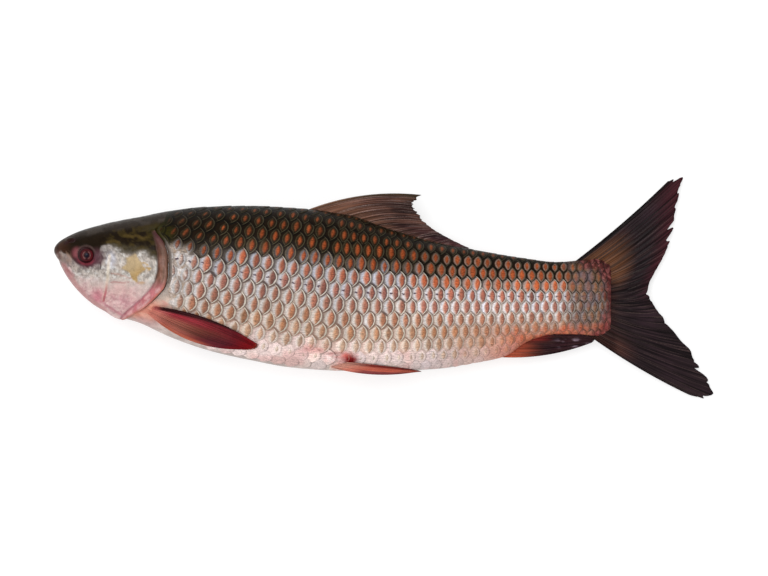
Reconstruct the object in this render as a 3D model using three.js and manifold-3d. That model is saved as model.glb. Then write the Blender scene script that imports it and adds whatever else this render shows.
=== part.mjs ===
// A whole raw carp lying on its right flank, the left flank up. Millimetres.
//
// The fish is drawn in its own frame first: x runs from the snout (0) to the tips of the tail
// (LENGTH), y from the belly to the back with 0 on the lateral line at the tail, and z up from
// the table. The exported group then moves it so that the middle of its box is over the origin.
//
// One solid holds the body, the head and all the fins, because they are one piece of flesh and
// skin. Each eyeball is a piece of its own, held in a socket.
import * as THREE from 'three';
import Module from 'manifold-3d';
import { mergeVertices } from 'three/addons/utils/BufferGeometryUtils.js';

const wasm = await Module();
wasm.setup();

// ---------------------------------------------------------------- driving dimensions

const LENGTH = 450; // snout to the tip of the longer tail lobe
const BODY_END = 380; // rear edge of the scaled, fleshy tail base

// Offsets of the body at stations along it: x, height of the back, height of the belly, half the
// thickness from flank to flank. Between stations they follow a smooth curve in the square root
// of x, which also rounds the snout.
const STATIONS = [
  [0, 31.5, 31.5, 0], // tip of the snout
  [1.5, 35.5, 27.5, 5.2],
  [4, 38, 22.5, 8.4], // upper lip
  [9, 41, 13.5, 12.4], // nostrils
  [17, 44.6, 3.5, 16.8], // front of the eyes
  [28, 48, -6, 20.8],
  [41, 51.2, -12.6, 24.2], // cheek
  [58, 54.4, -17.9, 27], // gill covers
  [80, 58.7, -28, 29.5], // nape
  [105, 61.2, -36.7, 31.5],
  [132, 61.4, -43, 32.5], // the thickest place
  [165, 59.9, -48.8, 32], // front of the dorsal fin
  [200, 55.3, -50.8, 30], // root of the pelvic fins
  [230, 45.2, -50.8, 26.8],
  [262, 36.2, -49.4, 22.5],
  [290, 31, -44.7, 18], // end of the dorsal fin
  [307, 28, -40.8, 15.3], // front of the anal fin
  [325, 25.2, -29.5, 12.5],
  [342, 23.3, -25.2, 10.3], // narrowest depth of the tail
  [358, 24.3, -25.4, 8],
  [371, 25.6, -26.6, 5.6],
  [BODY_END, 21.5, -23, 3],
];
const FULLNESS = 2.15; // exponent of the cross-section: 2 is an ellipse

// Height of the plane of symmetry above the table. A limp fish lies along the table, so this
// follows the thickness, and the tail hangs down to the table.
const MID_HEIGHT = [
  [0, 22],
  [28, 25],
  [60, 27.8],
  [95, 29.6],
  [132, 30.3],
  [165, 29.8],
  [200, 27.8],
  [230, 24.6],
  [262, 21],
  [290, 17.5],
  [325, 13.8],
  [358, 11],
  [BODY_END, 9.4],
  [LENGTH, 1.6],
];

// The free edge of the gill cover: share of the way round the section, from the middle of the
// back over the flank to the middle of the belly at 0.5, and x there.
const GILL_EDGE = [
  [0, 78],
  [0.08, 75],
  [0.115, 69.5], // upper end of the gill opening
  [0.155, 75],
  [0.195, 78],
  [0.25, 78.3],
  [0.29, 76.5],
  [0.32, 72.3],
  [0.36, 66],
  [0.4, 59.6],
  [0.455, 50.5],
  [0.5, 45.5], // where both covers meet under the throat
];
const GILL_LIFT = 1.6; // how far the cover stands off the shoulder
const GILL_GROOVE = 1.8; // depth of the opening behind it
const GILL_GAP = 1.2; // width of the opening

const SCALE_ROWS = 24; // round the whole body
const SCALE_COLUMNS = 40; // along the lateral line
const SCALE_LIFT = 1.15; // how far the free edge of a scale stands up
const MIDLINE_LIFT_SHARE = 0.15; // the same along the back and the belly, as a share of it
const KEELED_ROWS = 2; // rows each side of a midline whose scales are creased along their length
const SCALE_STEP = 0.07; // share of a scale's length that the step behind its edge takes
const TAIL_SCALE_SHARE = 0.72; // length of the last scales over that of the first

const EYE_X = 22.5;
const EYE_Y = 28.3;
const EYE_RADIUS = 6.4;
const EYE_DEPTH = 4.5; // centre of the eyeball below the skin
const SOCKET_GAP = 0.3;

const NOSTRIL_X = 11.5;
const NOSTRIL_Y = 37.6;
const NOSTRIL_RADIUS = 1.3;

const MOUTH_GROOVE = 1.1; // radius of the crease under the upper lip

const SIMPLIFY = 0.05; // how far the joined surface may move to lose its needless triangles

const SKIN_COLOUR = 0x9a8f86;
const EYE_COLOUR = 0x4a1518;

// ---------------------------------------------------------------- curves

// A smooth curve through [position, value] pairs: cubic pieces whose slope at each pair is that
// of its neighbours, taken level where the values turn back so that it never overshoots.
function smoothCurve(pairs, scale = (x) => x) {
  const at = pairs.map(([x]) => scale(x));
  const value = pairs.map(([, v]) => v);
  const slope = value.map((v, i) => {
    if (i === 0 || i === value.length - 1) {
      const j = i === 0 ? 1 : i;
      return (value[j] - value[j - 1]) / (at[j] - at[j - 1]);
    }
    const before = (v - value[i - 1]) / (at[i] - at[i - 1]);
    const after = (value[i + 1] - v) / (at[i + 1] - at[i]);
    if (before * after <= 0) return 0;
    return (2 * before * after) / (before + after);
  });
  return (x) => {
    const q = Math.min(Math.max(scale(x), at[0]), at[at.length - 1]);
    let i = 0;
    while (i < at.length - 2 && q > at[i + 1]) i++;
    const width = at[i + 1] - at[i];
    const t = (q - at[i]) / width;
    const turned = 1 - t;
    return (
      value[i] * turned * turned * (1 + 2 * t) +
      value[i + 1] * t * t * (3 - 2 * t) +
      width * turned * t * (slope[i] * turned - slope[i + 1] * t)
    );
  };
}

function smoothStep(from, to, x) {
  const t = Math.min(Math.max((x - from) / (to - from), 0), 1);
  return t * t * (3 - 2 * t);
}

const column = (n) => STATIONS.map((row) => [row[0], row[n]]);
const backAt = smoothCurve(column(1), Math.sqrt);
const bellyAt = smoothCurve(column(2), Math.sqrt);
const halfWidthAt = smoothCurve(column(3), Math.sqrt);
const midHeightAt = smoothCurve(MID_HEIGHT);
const gillEdgeAt = smoothCurve(GILL_EDGE);

// Height of the upper flank over the plane of symmetry, at a place seen from above.
function flankAt(x, y) {
  const centre = (backAt(x) + bellyAt(x)) / 2;
  const depth = (backAt(x) - bellyAt(x)) / 2;
  const out = Math.min(Math.abs(y - centre) / depth, 1);
  return halfWidthAt(x) * (1 - out ** FULLNESS) ** (1 / FULLNESS);
}

// ---------------------------------------------------------------- the skin of the body

const HALF_STEPS = 40; // straight steps that measure half a section

// A point of the section at x, a share of the way round it and raised along its normal.
// Round 0 is the middle of the back, 0.25 about the middle of the upper flank.
function skinPoint(x, round, raised = 0) {
  const share = round - Math.floor(round);
  const side = share <= 0.5 ? 1 : -1;
  const half = share <= 0.5 ? share * 2 : (1 - share) * 2;
  const centre = (backAt(x) + bellyAt(x)) / 2;
  const depth = (backAt(x) - bellyAt(x)) / 2;
  const width = halfWidthAt(x);
  const power = 2 / FULLNESS;
  const outline = Array.from({ length: HALF_STEPS + 1 }, (_, i) => {
    const turn = (Math.PI * i) / HALF_STEPS;
    const up = Math.cos(turn);
    return [
      Math.sign(up) * depth * Math.abs(up) ** power,
      width * Math.max(Math.sin(turn), 0) ** power,
    ];
  });
  const length = [0];
  for (let i = 1; i <= HALF_STEPS; i++) {
    const [y0, z0] = outline[i - 1];
    const [y1, z1] = outline[i];
    length.push(length[i - 1] + Math.hypot(y1 - y0, z1 - z0));
  }
  const wanted = half * length[HALF_STEPS];
  let i = 1;
  while (i < HALF_STEPS && length[i] < wanted) i++;
  const t = (wanted - length[i - 1]) / Math.max(length[i] - length[i - 1], 1e-9);
  const y = outline[i - 1][0] + t * (outline[i][0] - outline[i - 1][0]);
  const z = outline[i - 1][1] + t * (outline[i][1] - outline[i - 1][1]);
  const normal = new THREE.Vector2(y / depth ** 2, z / width ** 2).normalize();
  return new THREE.Vector3(
    x,
    centre + y + normal.x * raised,
    midHeightAt(x) + side * (z + normal.y * raised),
  );
}

// The table flattens what would sink into it.
function restOnTable(point) {
  point.z = Math.max(point.z, 0);
  return point;
}

const HEAD_POINTS = 2 * SCALE_ROWS;
const HEAD_RINGS = 16;

function headRing(share) {
  return Array.from({ length: HEAD_POINTS }, (_, k) => {
    const round = k / HEAD_POINTS;
    const folded = Math.min(round, 1 - round);
    const onFlank = smoothStep(0.09, 0.14, folded);
    const lift = GILL_LIFT * onFlank * smoothStep(0.72, 1, share);
    return restOnTable(skinPoint(share * gillEdgeAt(folded), round, lift));
  });
}

// The bottom of the groove behind the gill cover. Over the nape it is level with the skin.
function grooveRing() {
  return Array.from({ length: HEAD_POINTS }, (_, k) => {
    const round = k / HEAD_POINTS;
    const folded = Math.min(round, 1 - round);
    const depth = GILL_GROOVE * smoothStep(0.09, 0.14, folded);
    return restOnTable(skinPoint(gillEdgeAt(folded) + GILL_GAP / 2, round, -depth));
  });
}

// x of a place along the scaled body, counted in scales from behind the gill cover.
function scaleX(count, folded) {
  const share = Math.min(Math.max(count / (SCALE_COLUMNS + 0.5), 0), 1);
  const bend = (1 - TAIL_SCALE_SHARE) / (1 + TAIL_SCALE_SHARE);
  const eased = share * (1 + bend) - bend * share * share;
  const start = gillEdgeAt(folded) + GILL_GAP;
  return start + (BODY_END - start) * eased;
}

// Each scale has a high point at the tip of its free edge, and a low point just behind it where
// the next scale in its row comes out. Scales of odd rows sit half a scale further back.
function scaleNode(ring, row) {
  const round = row / SCALE_ROWS;
  const folded = Math.min(round, 1 - round);
  const count = ring + (row % 2 ? 0.5 : 0);
  const shrink = 1 - 0.45 * (ring / SCALE_COLUMNS);
  const offMidline = smoothStep(0, 3 / SCALE_ROWS, Math.min(folded, 0.5 - folded));
  const lift = SCALE_LIFT * shrink * (MIDLINE_LIFT_SHARE + (1 - MIDLINE_LIFT_SHARE) * offMidline);
  return {
    high: restOnTable(skinPoint(scaleX(count, folded), round, lift)),
    low: restOnTable(skinPoint(scaleX(count + SCALE_STEP, folded), round, 0)),
  };
}

function bodySkin() {
  const triangles = [];
  const add = (a, b, c) => triangles.push(a, b, c);
  const strip = (front, back) =>
    front.forEach((point, k) => {
      const next = (k + 1) % front.length;
      add(point, front[next], back[k]);
      add(front[next], back[next], back[k]);
    });

  const tip = new THREE.Vector3(0, backAt(0), midHeightAt(0));
  const rings = Array.from({ length: HEAD_RINGS }, (_, i) =>
    headRing(((i + 1) / HEAD_RINGS) ** 1.5),
  );
  rings.push(grooveRing());
  rings[0].forEach((point, k) => add(tip, rings[0][(k + 1) % HEAD_POINTS], point));
  for (let i = 1; i < rings.length; i++) strip(rings[i - 1], rings[i]);

  const nodes = Array.from({ length: SCALE_COLUMNS + 1 }, (_, ring) =>
    Array.from({ length: SCALE_ROWS }, (_, row) => scaleNode(ring, row)),
  );
  const groove = rings[rings.length - 1];
  for (let row = 0; row < SCALE_ROWS; row++) {
    const next = (row + 1) % SCALE_ROWS;
    const middle = groove[2 * row + 1];
    add(groove[2 * row], middle, nodes[0][row].low);
    add(middle, nodes[0][next].low, nodes[0][row].low);
    add(middle, groove[(2 * row + 2) % HEAD_POINTS], nodes[0][next].low);
  }
  for (let ring = 1; ring <= SCALE_COLUMNS; ring++) {
    for (let row = 0; row < SCALE_ROWS; row++) {
      const beside = nodes[row % 2 ? ring : ring - 1];
      const front = nodes[ring - 1][row].low;
      const upper = beside[(row + SCALE_ROWS - 1) % SCALE_ROWS].low;
      const lower = beside[(row + 1) % SCALE_ROWS].low;
      const { high, low } = nodes[ring][row];
      if (Math.min(row, SCALE_ROWS - row, Math.abs(row - SCALE_ROWS / 2)) <= KEELED_ROWS) {
        add(front, lower, high);
        add(front, high, upper);
      } else {
        add(front, lower, upper);
        add(upper, lower, high);
      }
      add(upper, high, low);
      add(lower, low, high);
    }
  }
  const last = nodes[SCALE_COLUMNS].map((node) => node.low);
  const cap = last.map((_, row) => skinPoint(BODY_END, row / SCALE_ROWS, -1));
  cap.forEach((point) => (point.x = BODY_END + 1));
  strip(last, cap);
  const end = new THREE.Vector3(BODY_END + 1.5, 0, midHeightAt(BODY_END));
  cap.forEach((point, k) => add(point, cap[(k + 1) % SCALE_ROWS], end));
  return solidFrom(triangles);
}

// ---------------------------------------------------------------- solids

function solidFrom(triangles) {
  const geometry = new THREE.BufferGeometry().setFromPoints(triangles);
  return solidOf(geometry);
}

function solidOf(geometry) {
  for (const name of ['normal', 'uv']) geometry.deleteAttribute(name);
  const merged = mergeVertices(geometry, 1e-4);
  return new wasm.Manifold(
    new wasm.Mesh({
      numProp: 3,
      vertProperties: merged.attributes.position.array,
      triVerts: new Uint32Array(merged.index.array),
    }),
  );
}

// A solid without the slivers and bubbles that a join or a cut pinches off.
function largestBody(solid) {
  return solid.decompose().reduce((most, body) => (body.volume() > most.volume() ? body : most));
}

function geometryOf(solid) {
  const mesh = solid.getMesh();
  return new THREE.BufferGeometry()
    .setAttribute('position', new THREE.BufferAttribute(mesh.vertProperties, 3))
    .setIndex(new THREE.BufferAttribute(mesh.triVerts, 1));
}

// ---------------------------------------------------------------- fins

const FIN_SEGMENTS = 4; // along each ray
const MEMBRANE_SHARE = 0.55; // thickness of the skin between rays over that of a ray

// A fin's root and its free edge, from the leading ray to the last, as [x, y] seen from above.
// bow is how far the middle of the first and of the last ray stands towards the back.
const CAUDAL = {
  root: [[352, 21.5], [368, 22.5], [377, 13], [378, 0], [377, -13], [368, -23.5], [361, -23.5]],
  edge: [
    [419.6, 79.4], [428.4, 80.6], [427.4, 75], [426.2, 68], [424.6, 60], [423, 50.5], [420.6, 38.2],
    [415.8, 26.7], [409.6, 15.2], [405.6, 6.1], [408.6, -3.6], [415.2, -13.7], [424.4, -25.3],
    [433.8, -36], [439.7, -47.5], [446, -56.4], [450, -66], [444.6, -69.4], [434.4, -67.4],
  ],
  bow: [-1.5, -2.1],
  rays: 17,
  thick: 3.4,
  thin: 1.1,
  notch: 0.03,
};
const DORSAL = {
  root: [
    [171, 58.5], [183, 56.4], [192.6, 54.5], [202, 52], [211.7, 48.4], [221.3, 45], [236.3, 40],
    [256.8, 35], [277, 31.6],
  ],
  edge: [
    [250.4, 69.6], [244.6, 64], [246, 60.1], [248.8, 56], [252, 51.7], [256.5, 47.7], [262, 44.2],
    [271.6, 38.8], [283.5, 33.2],
  ],
  bow: [5, 0],
  rays: 12,
  thick: 2.8,
  thin: 1.1,
  notch: 0.03,
};
const ANAL = {
  root: [[303, -41.2], [311, -36.6], [315.5, -32.4], [320.5, -29.2], [325, -27.2], [332, -25.4]],
  edge: [[366.6, -31.6], [368, -30.8], [368.6, -30], [369, -29.2], [369.2, -28.2], [369, -27]],
  bow: [-3.5, 2.4],
  rays: 6,
  thick: 3,
  thin: 1.3,
  notch: 0.02,
};
const PELVIC = {
  root: [[189, -48], [192, -46.6], [196, -45], [200, -43.4]],
  edge: [[244, -51.8], [248.5, -51.3], [250.6, -50.9], [249, -50.3]],
  bow: [-3, 0.4],
  rays: 5,
  thick: 2.8,
  thin: 1.2,
  notch: 0.02,
};
const PECTORAL = {
  root: [[67.5, -6.3], [66.4, -7.8], [65.2, -9.4], [64, -11]],
  edge: [[139.8, -32.6], [138, -35], [134, -36], [124.5, -35.8]],
  bow: [5, -6.4],
  rays: 9,
  thick: 2.8,
  thin: 1.2,
  notch: 0.03,
};

// The point of a polyline at a share of its corners, seen as a smooth curve.
function alongCurve(points, share) {
  const curve = new THREE.CatmullRomCurve3(points.map(([x, y]) => new THREE.Vector3(x, y, 0)));
  return curve.getPoint(share);
}

// A fin as a closed sheet, thick along its rays and thin between them. heightAt gives the height
// of its middle surface from x, y and the share of the way along the ray. A fin that lies on a
// flank reaches sunk deep into it: up from the table for side -1.
function finSolid(fin, heightAt, side = 0, sunk = 0) {
  const across = 2 * fin.rays - 2;
  const top = [];
  const bottom = [];
  for (let i = 0; i <= across; i++) {
    const share = i / across;
    const onRay = i % 2 === 0;
    const root = alongCurve(fin.root, share);
    const tip = alongCurve(fin.edge, share);
    const ray = tip.clone().sub(root);
    const sideways = new THREE.Vector3(-ray.y, ray.x, 0).normalize();
    const bow = fin.bow[0] + (fin.bow[1] - fin.bow[0]) * share;
    const reach = onRay ? 1 : 1 - fin.notch;
    top.push([]);
    bottom.push([]);
    for (let j = 0; j <= FIN_SEGMENTS; j++) {
      const along = (j / FIN_SEGMENTS) * reach;
      const point = root
        .clone()
        .addScaledVector(ray, along)
        .addScaledVector(sideways, 4 * bow * along * (1 - along));
      const thickness = fin.thick + (fin.thin - fin.thick) * along;
      const half = (thickness * (onRay ? 1 : MEMBRANE_SHARE)) / 2;
      const height = Math.max(heightAt(point.x, point.y, along), half + 0.2);
      const above = half + (side < 0 ? sunk : 0);
      const below = half + (side > 0 ? sunk : 0);
      top[i].push(new THREE.Vector3(point.x, point.y, height + above));
      bottom[i].push(new THREE.Vector3(point.x, point.y, height - below));
    }
  }
  return sheetSolid(top, bottom);
}

// A closed solid between two grids of points of the same size.
function sheetSolid(top, bottom) {
  const triangles = [];
  const quad = (a, b, c, d) => triangles.push(a, b, c, a, c, d);
  const rows = top.length - 1;
  const columns = top[0].length - 1;
  for (let i = 0; i < rows; i++) {
    for (let j = 0; j < columns; j++) {
      quad(top[i][j], top[i + 1][j], top[i + 1][j + 1], top[i][j + 1]);
      quad(bottom[i][j], bottom[i][j + 1], bottom[i + 1][j + 1], bottom[i + 1][j]);
    }
    quad(top[i][0], bottom[i][0], bottom[i + 1][0], top[i + 1][0]);
    quad(top[i + 1][columns], bottom[i + 1][columns], bottom[i][columns], top[i][columns]);
  }
  for (let j = 0; j < columns; j++) {
    quad(top[0][j + 1], bottom[0][j + 1], bottom[0][j], top[0][j]);
    quad(top[rows][j], bottom[rows][j], bottom[rows][j + 1], top[rows][j + 1]);
  }
  const solid = solidFrom(triangles);
  if (solid.volume() > 0) return solid;
  for (let i = 0; i < triangles.length; i += 3)
    [triangles[i + 1], triangles[i + 2]] = [triangles[i + 2], triangles[i + 1]];
  return solidFrom(triangles);
}

const FIN_SAG = 3.2; // how far the free edge of the dorsal fin hangs down
const PELVIC_ROOT_HEIGHT = 10; // least, over and under the plane of symmetry
const PELVIC_TIP_HEIGHT = 6;
const PELVIC_STANDOFF = 0.6; // middle of the fin over the belly that it drapes
const PELVIC_SUNK = 0.6;
const PECTORAL_STANDOFF = 1.3; // middle of the folded fin over the skin
const PECTORAL_SUNK = 5;

function medianFins() {
  const level = (x) => midHeightAt(x);
  const sagging = (x, y, along) => midHeightAt(x) - FIN_SAG * along * along;
  return [finSolid(CAUDAL, level), finSolid(DORSAL, sagging), finSolid(ANAL, level)];
}

// The paired fins of the upper flank (side 1) or of the one that lies on the table (side -1).
function pairedFins(side) {
  const pelvic = (x, y, along) => {
    const least = PELVIC_ROOT_HEIGHT + (PELVIC_TIP_HEIGHT - PELVIC_ROOT_HEIGHT) * along;
    return midHeightAt(x) + side * Math.max(flankAt(x, y) + PELVIC_STANDOFF, least);
  };
  const pectoral = (x, y) => midHeightAt(x) + side * (flankAt(x, y) + PECTORAL_STANDOFF);
  return [
    finSolid(PELVIC, pelvic, side, PELVIC_SUNK),
    finSolid(PECTORAL, pectoral, side, PECTORAL_SUNK),
  ];
}

// ---------------------------------------------------------------- head details

const sides = [1, -1];

function eyeCentre(side) {
  const height = flankAt(EYE_X, EYE_Y) - EYE_DEPTH;
  return new THREE.Vector3(EYE_X, EYE_Y, midHeightAt(EYE_X) + side * height);
}

function ball(radius, centre) {
  const geometry = new THREE.SphereGeometry(radius, 20, 12);
  geometry.translate(centre.x, centre.y, centre.z);
  return solidOf(geometry);
}

function nostril(side) {
  const height = flankAt(NOSTRIL_X, NOSTRIL_Y);
  const geometry = new THREE.SphereGeometry(NOSTRIL_RADIUS, 8, 6);
  geometry.scale(1.5, 1, 1);
  geometry.translate(NOSTRIL_X, NOSTRIL_Y, midHeightAt(NOSTRIL_X) + side * height);
  return solidOf(geometry);
}

// The crease of the mouth: a bent round bar that runs from one cheek round the front of the
// lower jaw to the other.
function mouthGroove() {
  const corner = (side) => [
    [13.5, 14.5, 15.2],
    [9.2, 19, 12.4],
    [5.4, 22.8, 8.6],
  ].map(([x, y, out]) => new THREE.Vector3(x, y, midHeightAt(x) + side * out));
  const front = new THREE.Vector3(2.2, 25.2, midHeightAt(2));
  const path = new THREE.CatmullRomCurve3([...corner(1), front, ...corner(-1).reverse()]);
  const round = new THREE.Shape().absarc(0, 0, MOUTH_GROOVE, 0, 2 * Math.PI);
  const geometry = new THREE.ExtrudeGeometry(round, {
    steps: 12,
    curveSegments: 4,
    extrudePath: path,
  });
  return solidOf(geometry);
}

// ---------------------------------------------------------------- the whole fish

function fishSolid() {
  const fins = [...medianFins(), ...sides.flatMap(pairedFins)];
  const grown = fins.reduce((whole, fin) => whole.add(fin), bodySkin());
  const cuts = sides.flatMap((side) => [
    ball(EYE_RADIUS + SOCKET_GAP, eyeCentre(side)),
    nostril(side),
  ]);
  const cut = [...cuts, mouthGroove()].reduce((whole, tool) => whole.subtract(tool), grown);
  return largestBody(cut.simplify(SIMPLIFY));
}

function namedMesh(name, solid, material) {
  const mesh = new THREE.Mesh(geometryOf(solid), material);
  mesh.name = name;
  return mesh;
}

const skin = new THREE.MeshStandardMaterial({ color: SKIN_COLOUR, roughness: 0.35, metalness: 0 });
const wetEye = new THREE.MeshStandardMaterial({ color: EYE_COLOUR, roughness: 0.1, metalness: 0 });

const fish = new THREE.Group();
fish.add(namedMesh('fish', fishSolid(), skin));
fish.add(namedMesh('eye_left', ball(EYE_RADIUS, eyeCentre(1)), wetEye));
fish.add(namedMesh('eye_right', ball(EYE_RADIUS, eyeCentre(-1)), wetEye));

const box = new THREE.Box3().setFromObject(fish);
const middle = box.getCenter(new THREE.Vector3());
fish.position.set(-middle.x, -middle.y, -box.min.z);

export default fish;
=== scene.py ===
"""A whole raw carp lying on its right flank: skin, scales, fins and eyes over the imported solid.

Lengths are in millimetres in the fish's own frame: x runs from the snout to the tail, y from the
belly to the back with 0 on the lateral line at the tail, and z is up. OFFSET and MM turn them
into the part's frame, in metres.
"""

import functools
import math

import bpy
import numpy as np
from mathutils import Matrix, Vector


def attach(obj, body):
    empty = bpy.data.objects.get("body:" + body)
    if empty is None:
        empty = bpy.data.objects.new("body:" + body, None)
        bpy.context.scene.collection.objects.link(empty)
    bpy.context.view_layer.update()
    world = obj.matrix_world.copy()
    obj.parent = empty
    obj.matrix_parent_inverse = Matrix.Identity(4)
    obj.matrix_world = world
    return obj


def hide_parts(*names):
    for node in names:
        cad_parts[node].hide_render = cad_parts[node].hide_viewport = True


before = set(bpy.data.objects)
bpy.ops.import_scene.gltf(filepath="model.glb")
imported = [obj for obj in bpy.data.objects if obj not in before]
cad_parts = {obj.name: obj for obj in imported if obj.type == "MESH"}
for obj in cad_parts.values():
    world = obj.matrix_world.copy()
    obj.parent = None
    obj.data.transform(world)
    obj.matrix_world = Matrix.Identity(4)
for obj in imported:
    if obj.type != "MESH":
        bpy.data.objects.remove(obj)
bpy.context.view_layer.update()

# --- sizes

MM = 0.001
BODY_END = 380.0
OFFSET = np.array([-224.95, -5.49, 0.0])
# how far flesh pressed flat stays off the table, and the height below which it is pressed
TABLE_CLEARANCE = 0.12
PRESSED_DEPTH = 2.2

# x, height of the back, height of the belly, half the thickness
STATIONS = np.array([
    (0, 31.5, 31.5, 0), (1.5, 35.5, 27.5, 5.2), (4, 38, 22.5, 8.4), (9, 41, 13.5, 12.4),
    (17, 44.6, 3.5, 16.8), (28, 48, -6, 20.8), (41, 51.2, -12.6, 24.2), (58, 54.4, -17.9, 27),
    (80, 58.7, -28, 29.5), (105, 61.2, -36.7, 31.5), (132, 61.4, -43, 32.5),
    (165, 59.9, -48.8, 32), (200, 55.3, -50.8, 30), (230, 45.2, -50.8, 26.8),
    (262, 36.2, -49.4, 22.5), (290, 31, -44.7, 18), (307, 28, -40.8, 15.3),
    (325, 25.2, -29.5, 12.5), (342, 23.3, -25.2, 10.3), (358, 24.3, -25.4, 8),
    (371, 25.6, -26.6, 5.6), (380, 21.5, -23, 3),
])
# power of the body's section, 2 for an ellipse
FULLNESS = 2.15
# x, and height of the middle of the body over the table
MID_HEIGHT = [
    (0, 22), (28, 25), (60, 27.8), (95, 29.6), (132, 30.3), (165, 29.8), (200, 27.8), (230, 24.6),
    (262, 21), (290, 17.5), (325, 13.8), (358, 11), (380, 9.4), (450, 1.6),
]

# free edge of the gill cover: share of the way from the back to the belly, and x
GILL_EDGE = [
    (0, 78), (0.16, 75), (0.23, 69.5), (0.31, 75), (0.39, 78), (0.5, 78.3), (0.58, 76),
    (0.64, 71.4), (0.72, 64.7), (0.77, 60), (0.82, 55.2), (0.91, 49.4), (1, 45.2),
]
# how far it stands out, and the depth and width of the groove behind it
GILL_LIFT = 1.6
GILL_GROOVE = 1.8
GILL_GAP = 0.8

# the coloured spot of a scale is a lens: its middle and how far it bulges towards the head, on
# the flank and by the tail, and towards the tail, in pitches, and half its length in row spacings
SPOT_MIDDLE = 0.5
SPOT_FRONT = 0.28
SPOT_FRONT_BY_TAIL = 0.34
SPOT_REAR = 0.31
SPOT_HALF = 0.66

# lateral line: x and height
LATERAL_LINE = [
    (40, 33), (85, 25.9), (127, 17.1), (172, 8.2), (198, 4.1), (230, 2.4), (257, 1.7), (286, 0.7),
    (332, 0), (380, 0),
]
# brightness of the scales along the fish
SCALE_BRIGHTNESS = [
    (60, 1.25), (78, 1.16), (95, 0.96), (140, 0.97), (200, 1.03), (245, 1.3), (300, 1.48),
    (345, 1.34), (362, 1.06), (380, 0.94),
]
# from one scale to the next along a row, and from one row to the next
SCALE_PITCH = [
    (60, 9), (172, 8.6), (230, 7.9), (270, 7.2), (330, 6.4), (350, 5.8), (362, 5.1), (372, 4.2),
    (380, 3.9),
]
ROW_SPACING = [(60, 9.4), (172, 10), (230, 9.2), (270, 8.4), (318, 7.4), (380, 6.5)]
# number of rows by which the dark back reaches further down the flank
DARK_REACH = [
    (60, 1.35), (86, 1.35), (120, 0.72), (161, 0.08), (229, 0.2), (270, 0.65), (318, 0.7), (380, 0.9),
]
# x of the scale of the lateral line that the others are counted from, how far the scales reach
# and the number of rows on either side of the lateral line
FIRST_SCALE_X = 179.0
SCALES_FROM = 34
SCALES_TO = 388
MOST_ROWS = 12
# the free rim of a scale: its reach from the middle of the scale in pitches, how far it falls
# back at one row spacing to the side and with which power, and its half width in row spacings
RIM_REACH = 0.92
RIM_FALL = 1.2
RIM_POWER = 2.2
RIM_WIDTH = 0.74
# height of a scale's rim over the skin at a pitch of LIFT_PITCH, and thickness of its edge
SCALE_LIFT = 0.75
LIFT_PITCH = 8.6
SCALE_EDGE = 0.22
# scales that show less than this, or lie on this much of a pectoral fin's root, are left out
LEAST_FADE = 0.12
MOST_FLESH = 0.6
PECTORAL_ROOT_END = 90

# lower border of the dark back of the head: x and height
DARK_BORDER = [
    (0, 28.2), (5.5, 30.4), (9.6, 29.4), (12.3, 26.6), (15, 23.9), (17.8, 21.9), (21.9, 20.5),
    (26, 21.5), (29.4, 23.9), (31.1, 29.4), (32.8, 34.1), (36.9, 35.2), (41.7, 34.1), (46.4, 32.4),
    (50.5, 30.7), (55.3, 30.7), (59.4, 31.8), (63.5, 30.1), (66.9, 28), (71, 26), (80, 25),
]
# where the gloss along the top of the head ends
GLOSS_BORDER = [
    (0, 36), (4.1, 36.9), (14.3, 40.6), (24.6, 41.7), (34.8, 44.4), (48.5, 46.4), (65.6, 49.2),
    (80, 51.5),
]

NOSTRIL = (12, 38.2)
EYE = np.array([22.5, 28.3])
# radius of the eyeball, and how deep its middle lies under the flank
EYE_RADIUS = 6.4
EYE_DEPTH = 4.5

# a fin's root and edge from its front or top corner on; how far its first and last ray bow, its
# number of rays, its thickness at the root and edge, how deep the web falls back between rays and
# how ragged it is, as shares of its length; tears as place, width and depth; and its sheen
CAUDAL = dict(
    root=[(352, 21.5), (368, 22.5), (377, 13), (378, 0), (377, -13), (368, -23.5), (361, -23.5)],
    edge=[
        (419.6, 79.4), (428.4, 80.6), (427.4, 75), (426.2, 68), (424.6, 60), (423, 50.5),
        (420.6, 38.2), (415.8, 26.7), (409.6, 15.2), (405.6, 6.1), (408.6, -3.6), (415.2, -13.7),
        (424.4, -25.3), (433.8, -36), (439.7, -47.5), (446, -56.4), (450, -66), (444.6, -69.4),
        (434.4, -67.4),
    ],
    bow=(-1.5, -2.1), rays=19, thick=3.4, thin=0.9, notch=0.015, ragged=0.02,
    tears=[
        (0.03, 0.006, 0.035), (0.115, 0.006, 0.03), (0.283, 0.007, 0.1), (0.297, 0.008, -0.03),
        (0.322, 0.007, 0.09), (0.336, 0.009, -0.025), (0.52, 0.008, 0.04), (0.545, 0.006, 0.03),
        (0.795, 0.01, 0.04), (0.93, 0.006, 0.03),
    ],
    sheen="5c4a46",
)
DORSAL = dict(
    root=[
        (171, 58.5), (183, 56.4), (192.6, 54.5), (202, 52), (211.7, 48.4), (221.3, 45),
        (236.3, 40), (256.8, 35), (277, 31.6),
    ],
    edge=[
        (250.4, 69.6), (244.6, 64), (246, 60.1), (248.8, 56), (252, 51.7), (256.5, 47.7),
        (262, 44.2), (271.6, 38.8), (283.5, 33.2),
    ],
    bow=(5, 0), rays=14, thick=2.6, thin=0.9, notch=0.02, ragged=0.02, tears=[], sheen="c4aaa2",
)
ANAL = dict(
    root=[(303, -41.2), (311, -36.6), (315.5, -32.4), (320.5, -29.2), (325, -27.2), (332, -25.4)],
    edge=[(366.6, -31.6), (368, -30.8), (368.6, -30), (369, -29.2), (369.2, -28.2), (369, -27)],
    bow=(-3.5, 2.4), rays=8, thick=2.8, thin=1.2, notch=0.01, ragged=0.01, tears=[], sheen="6a4a44",
)
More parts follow.
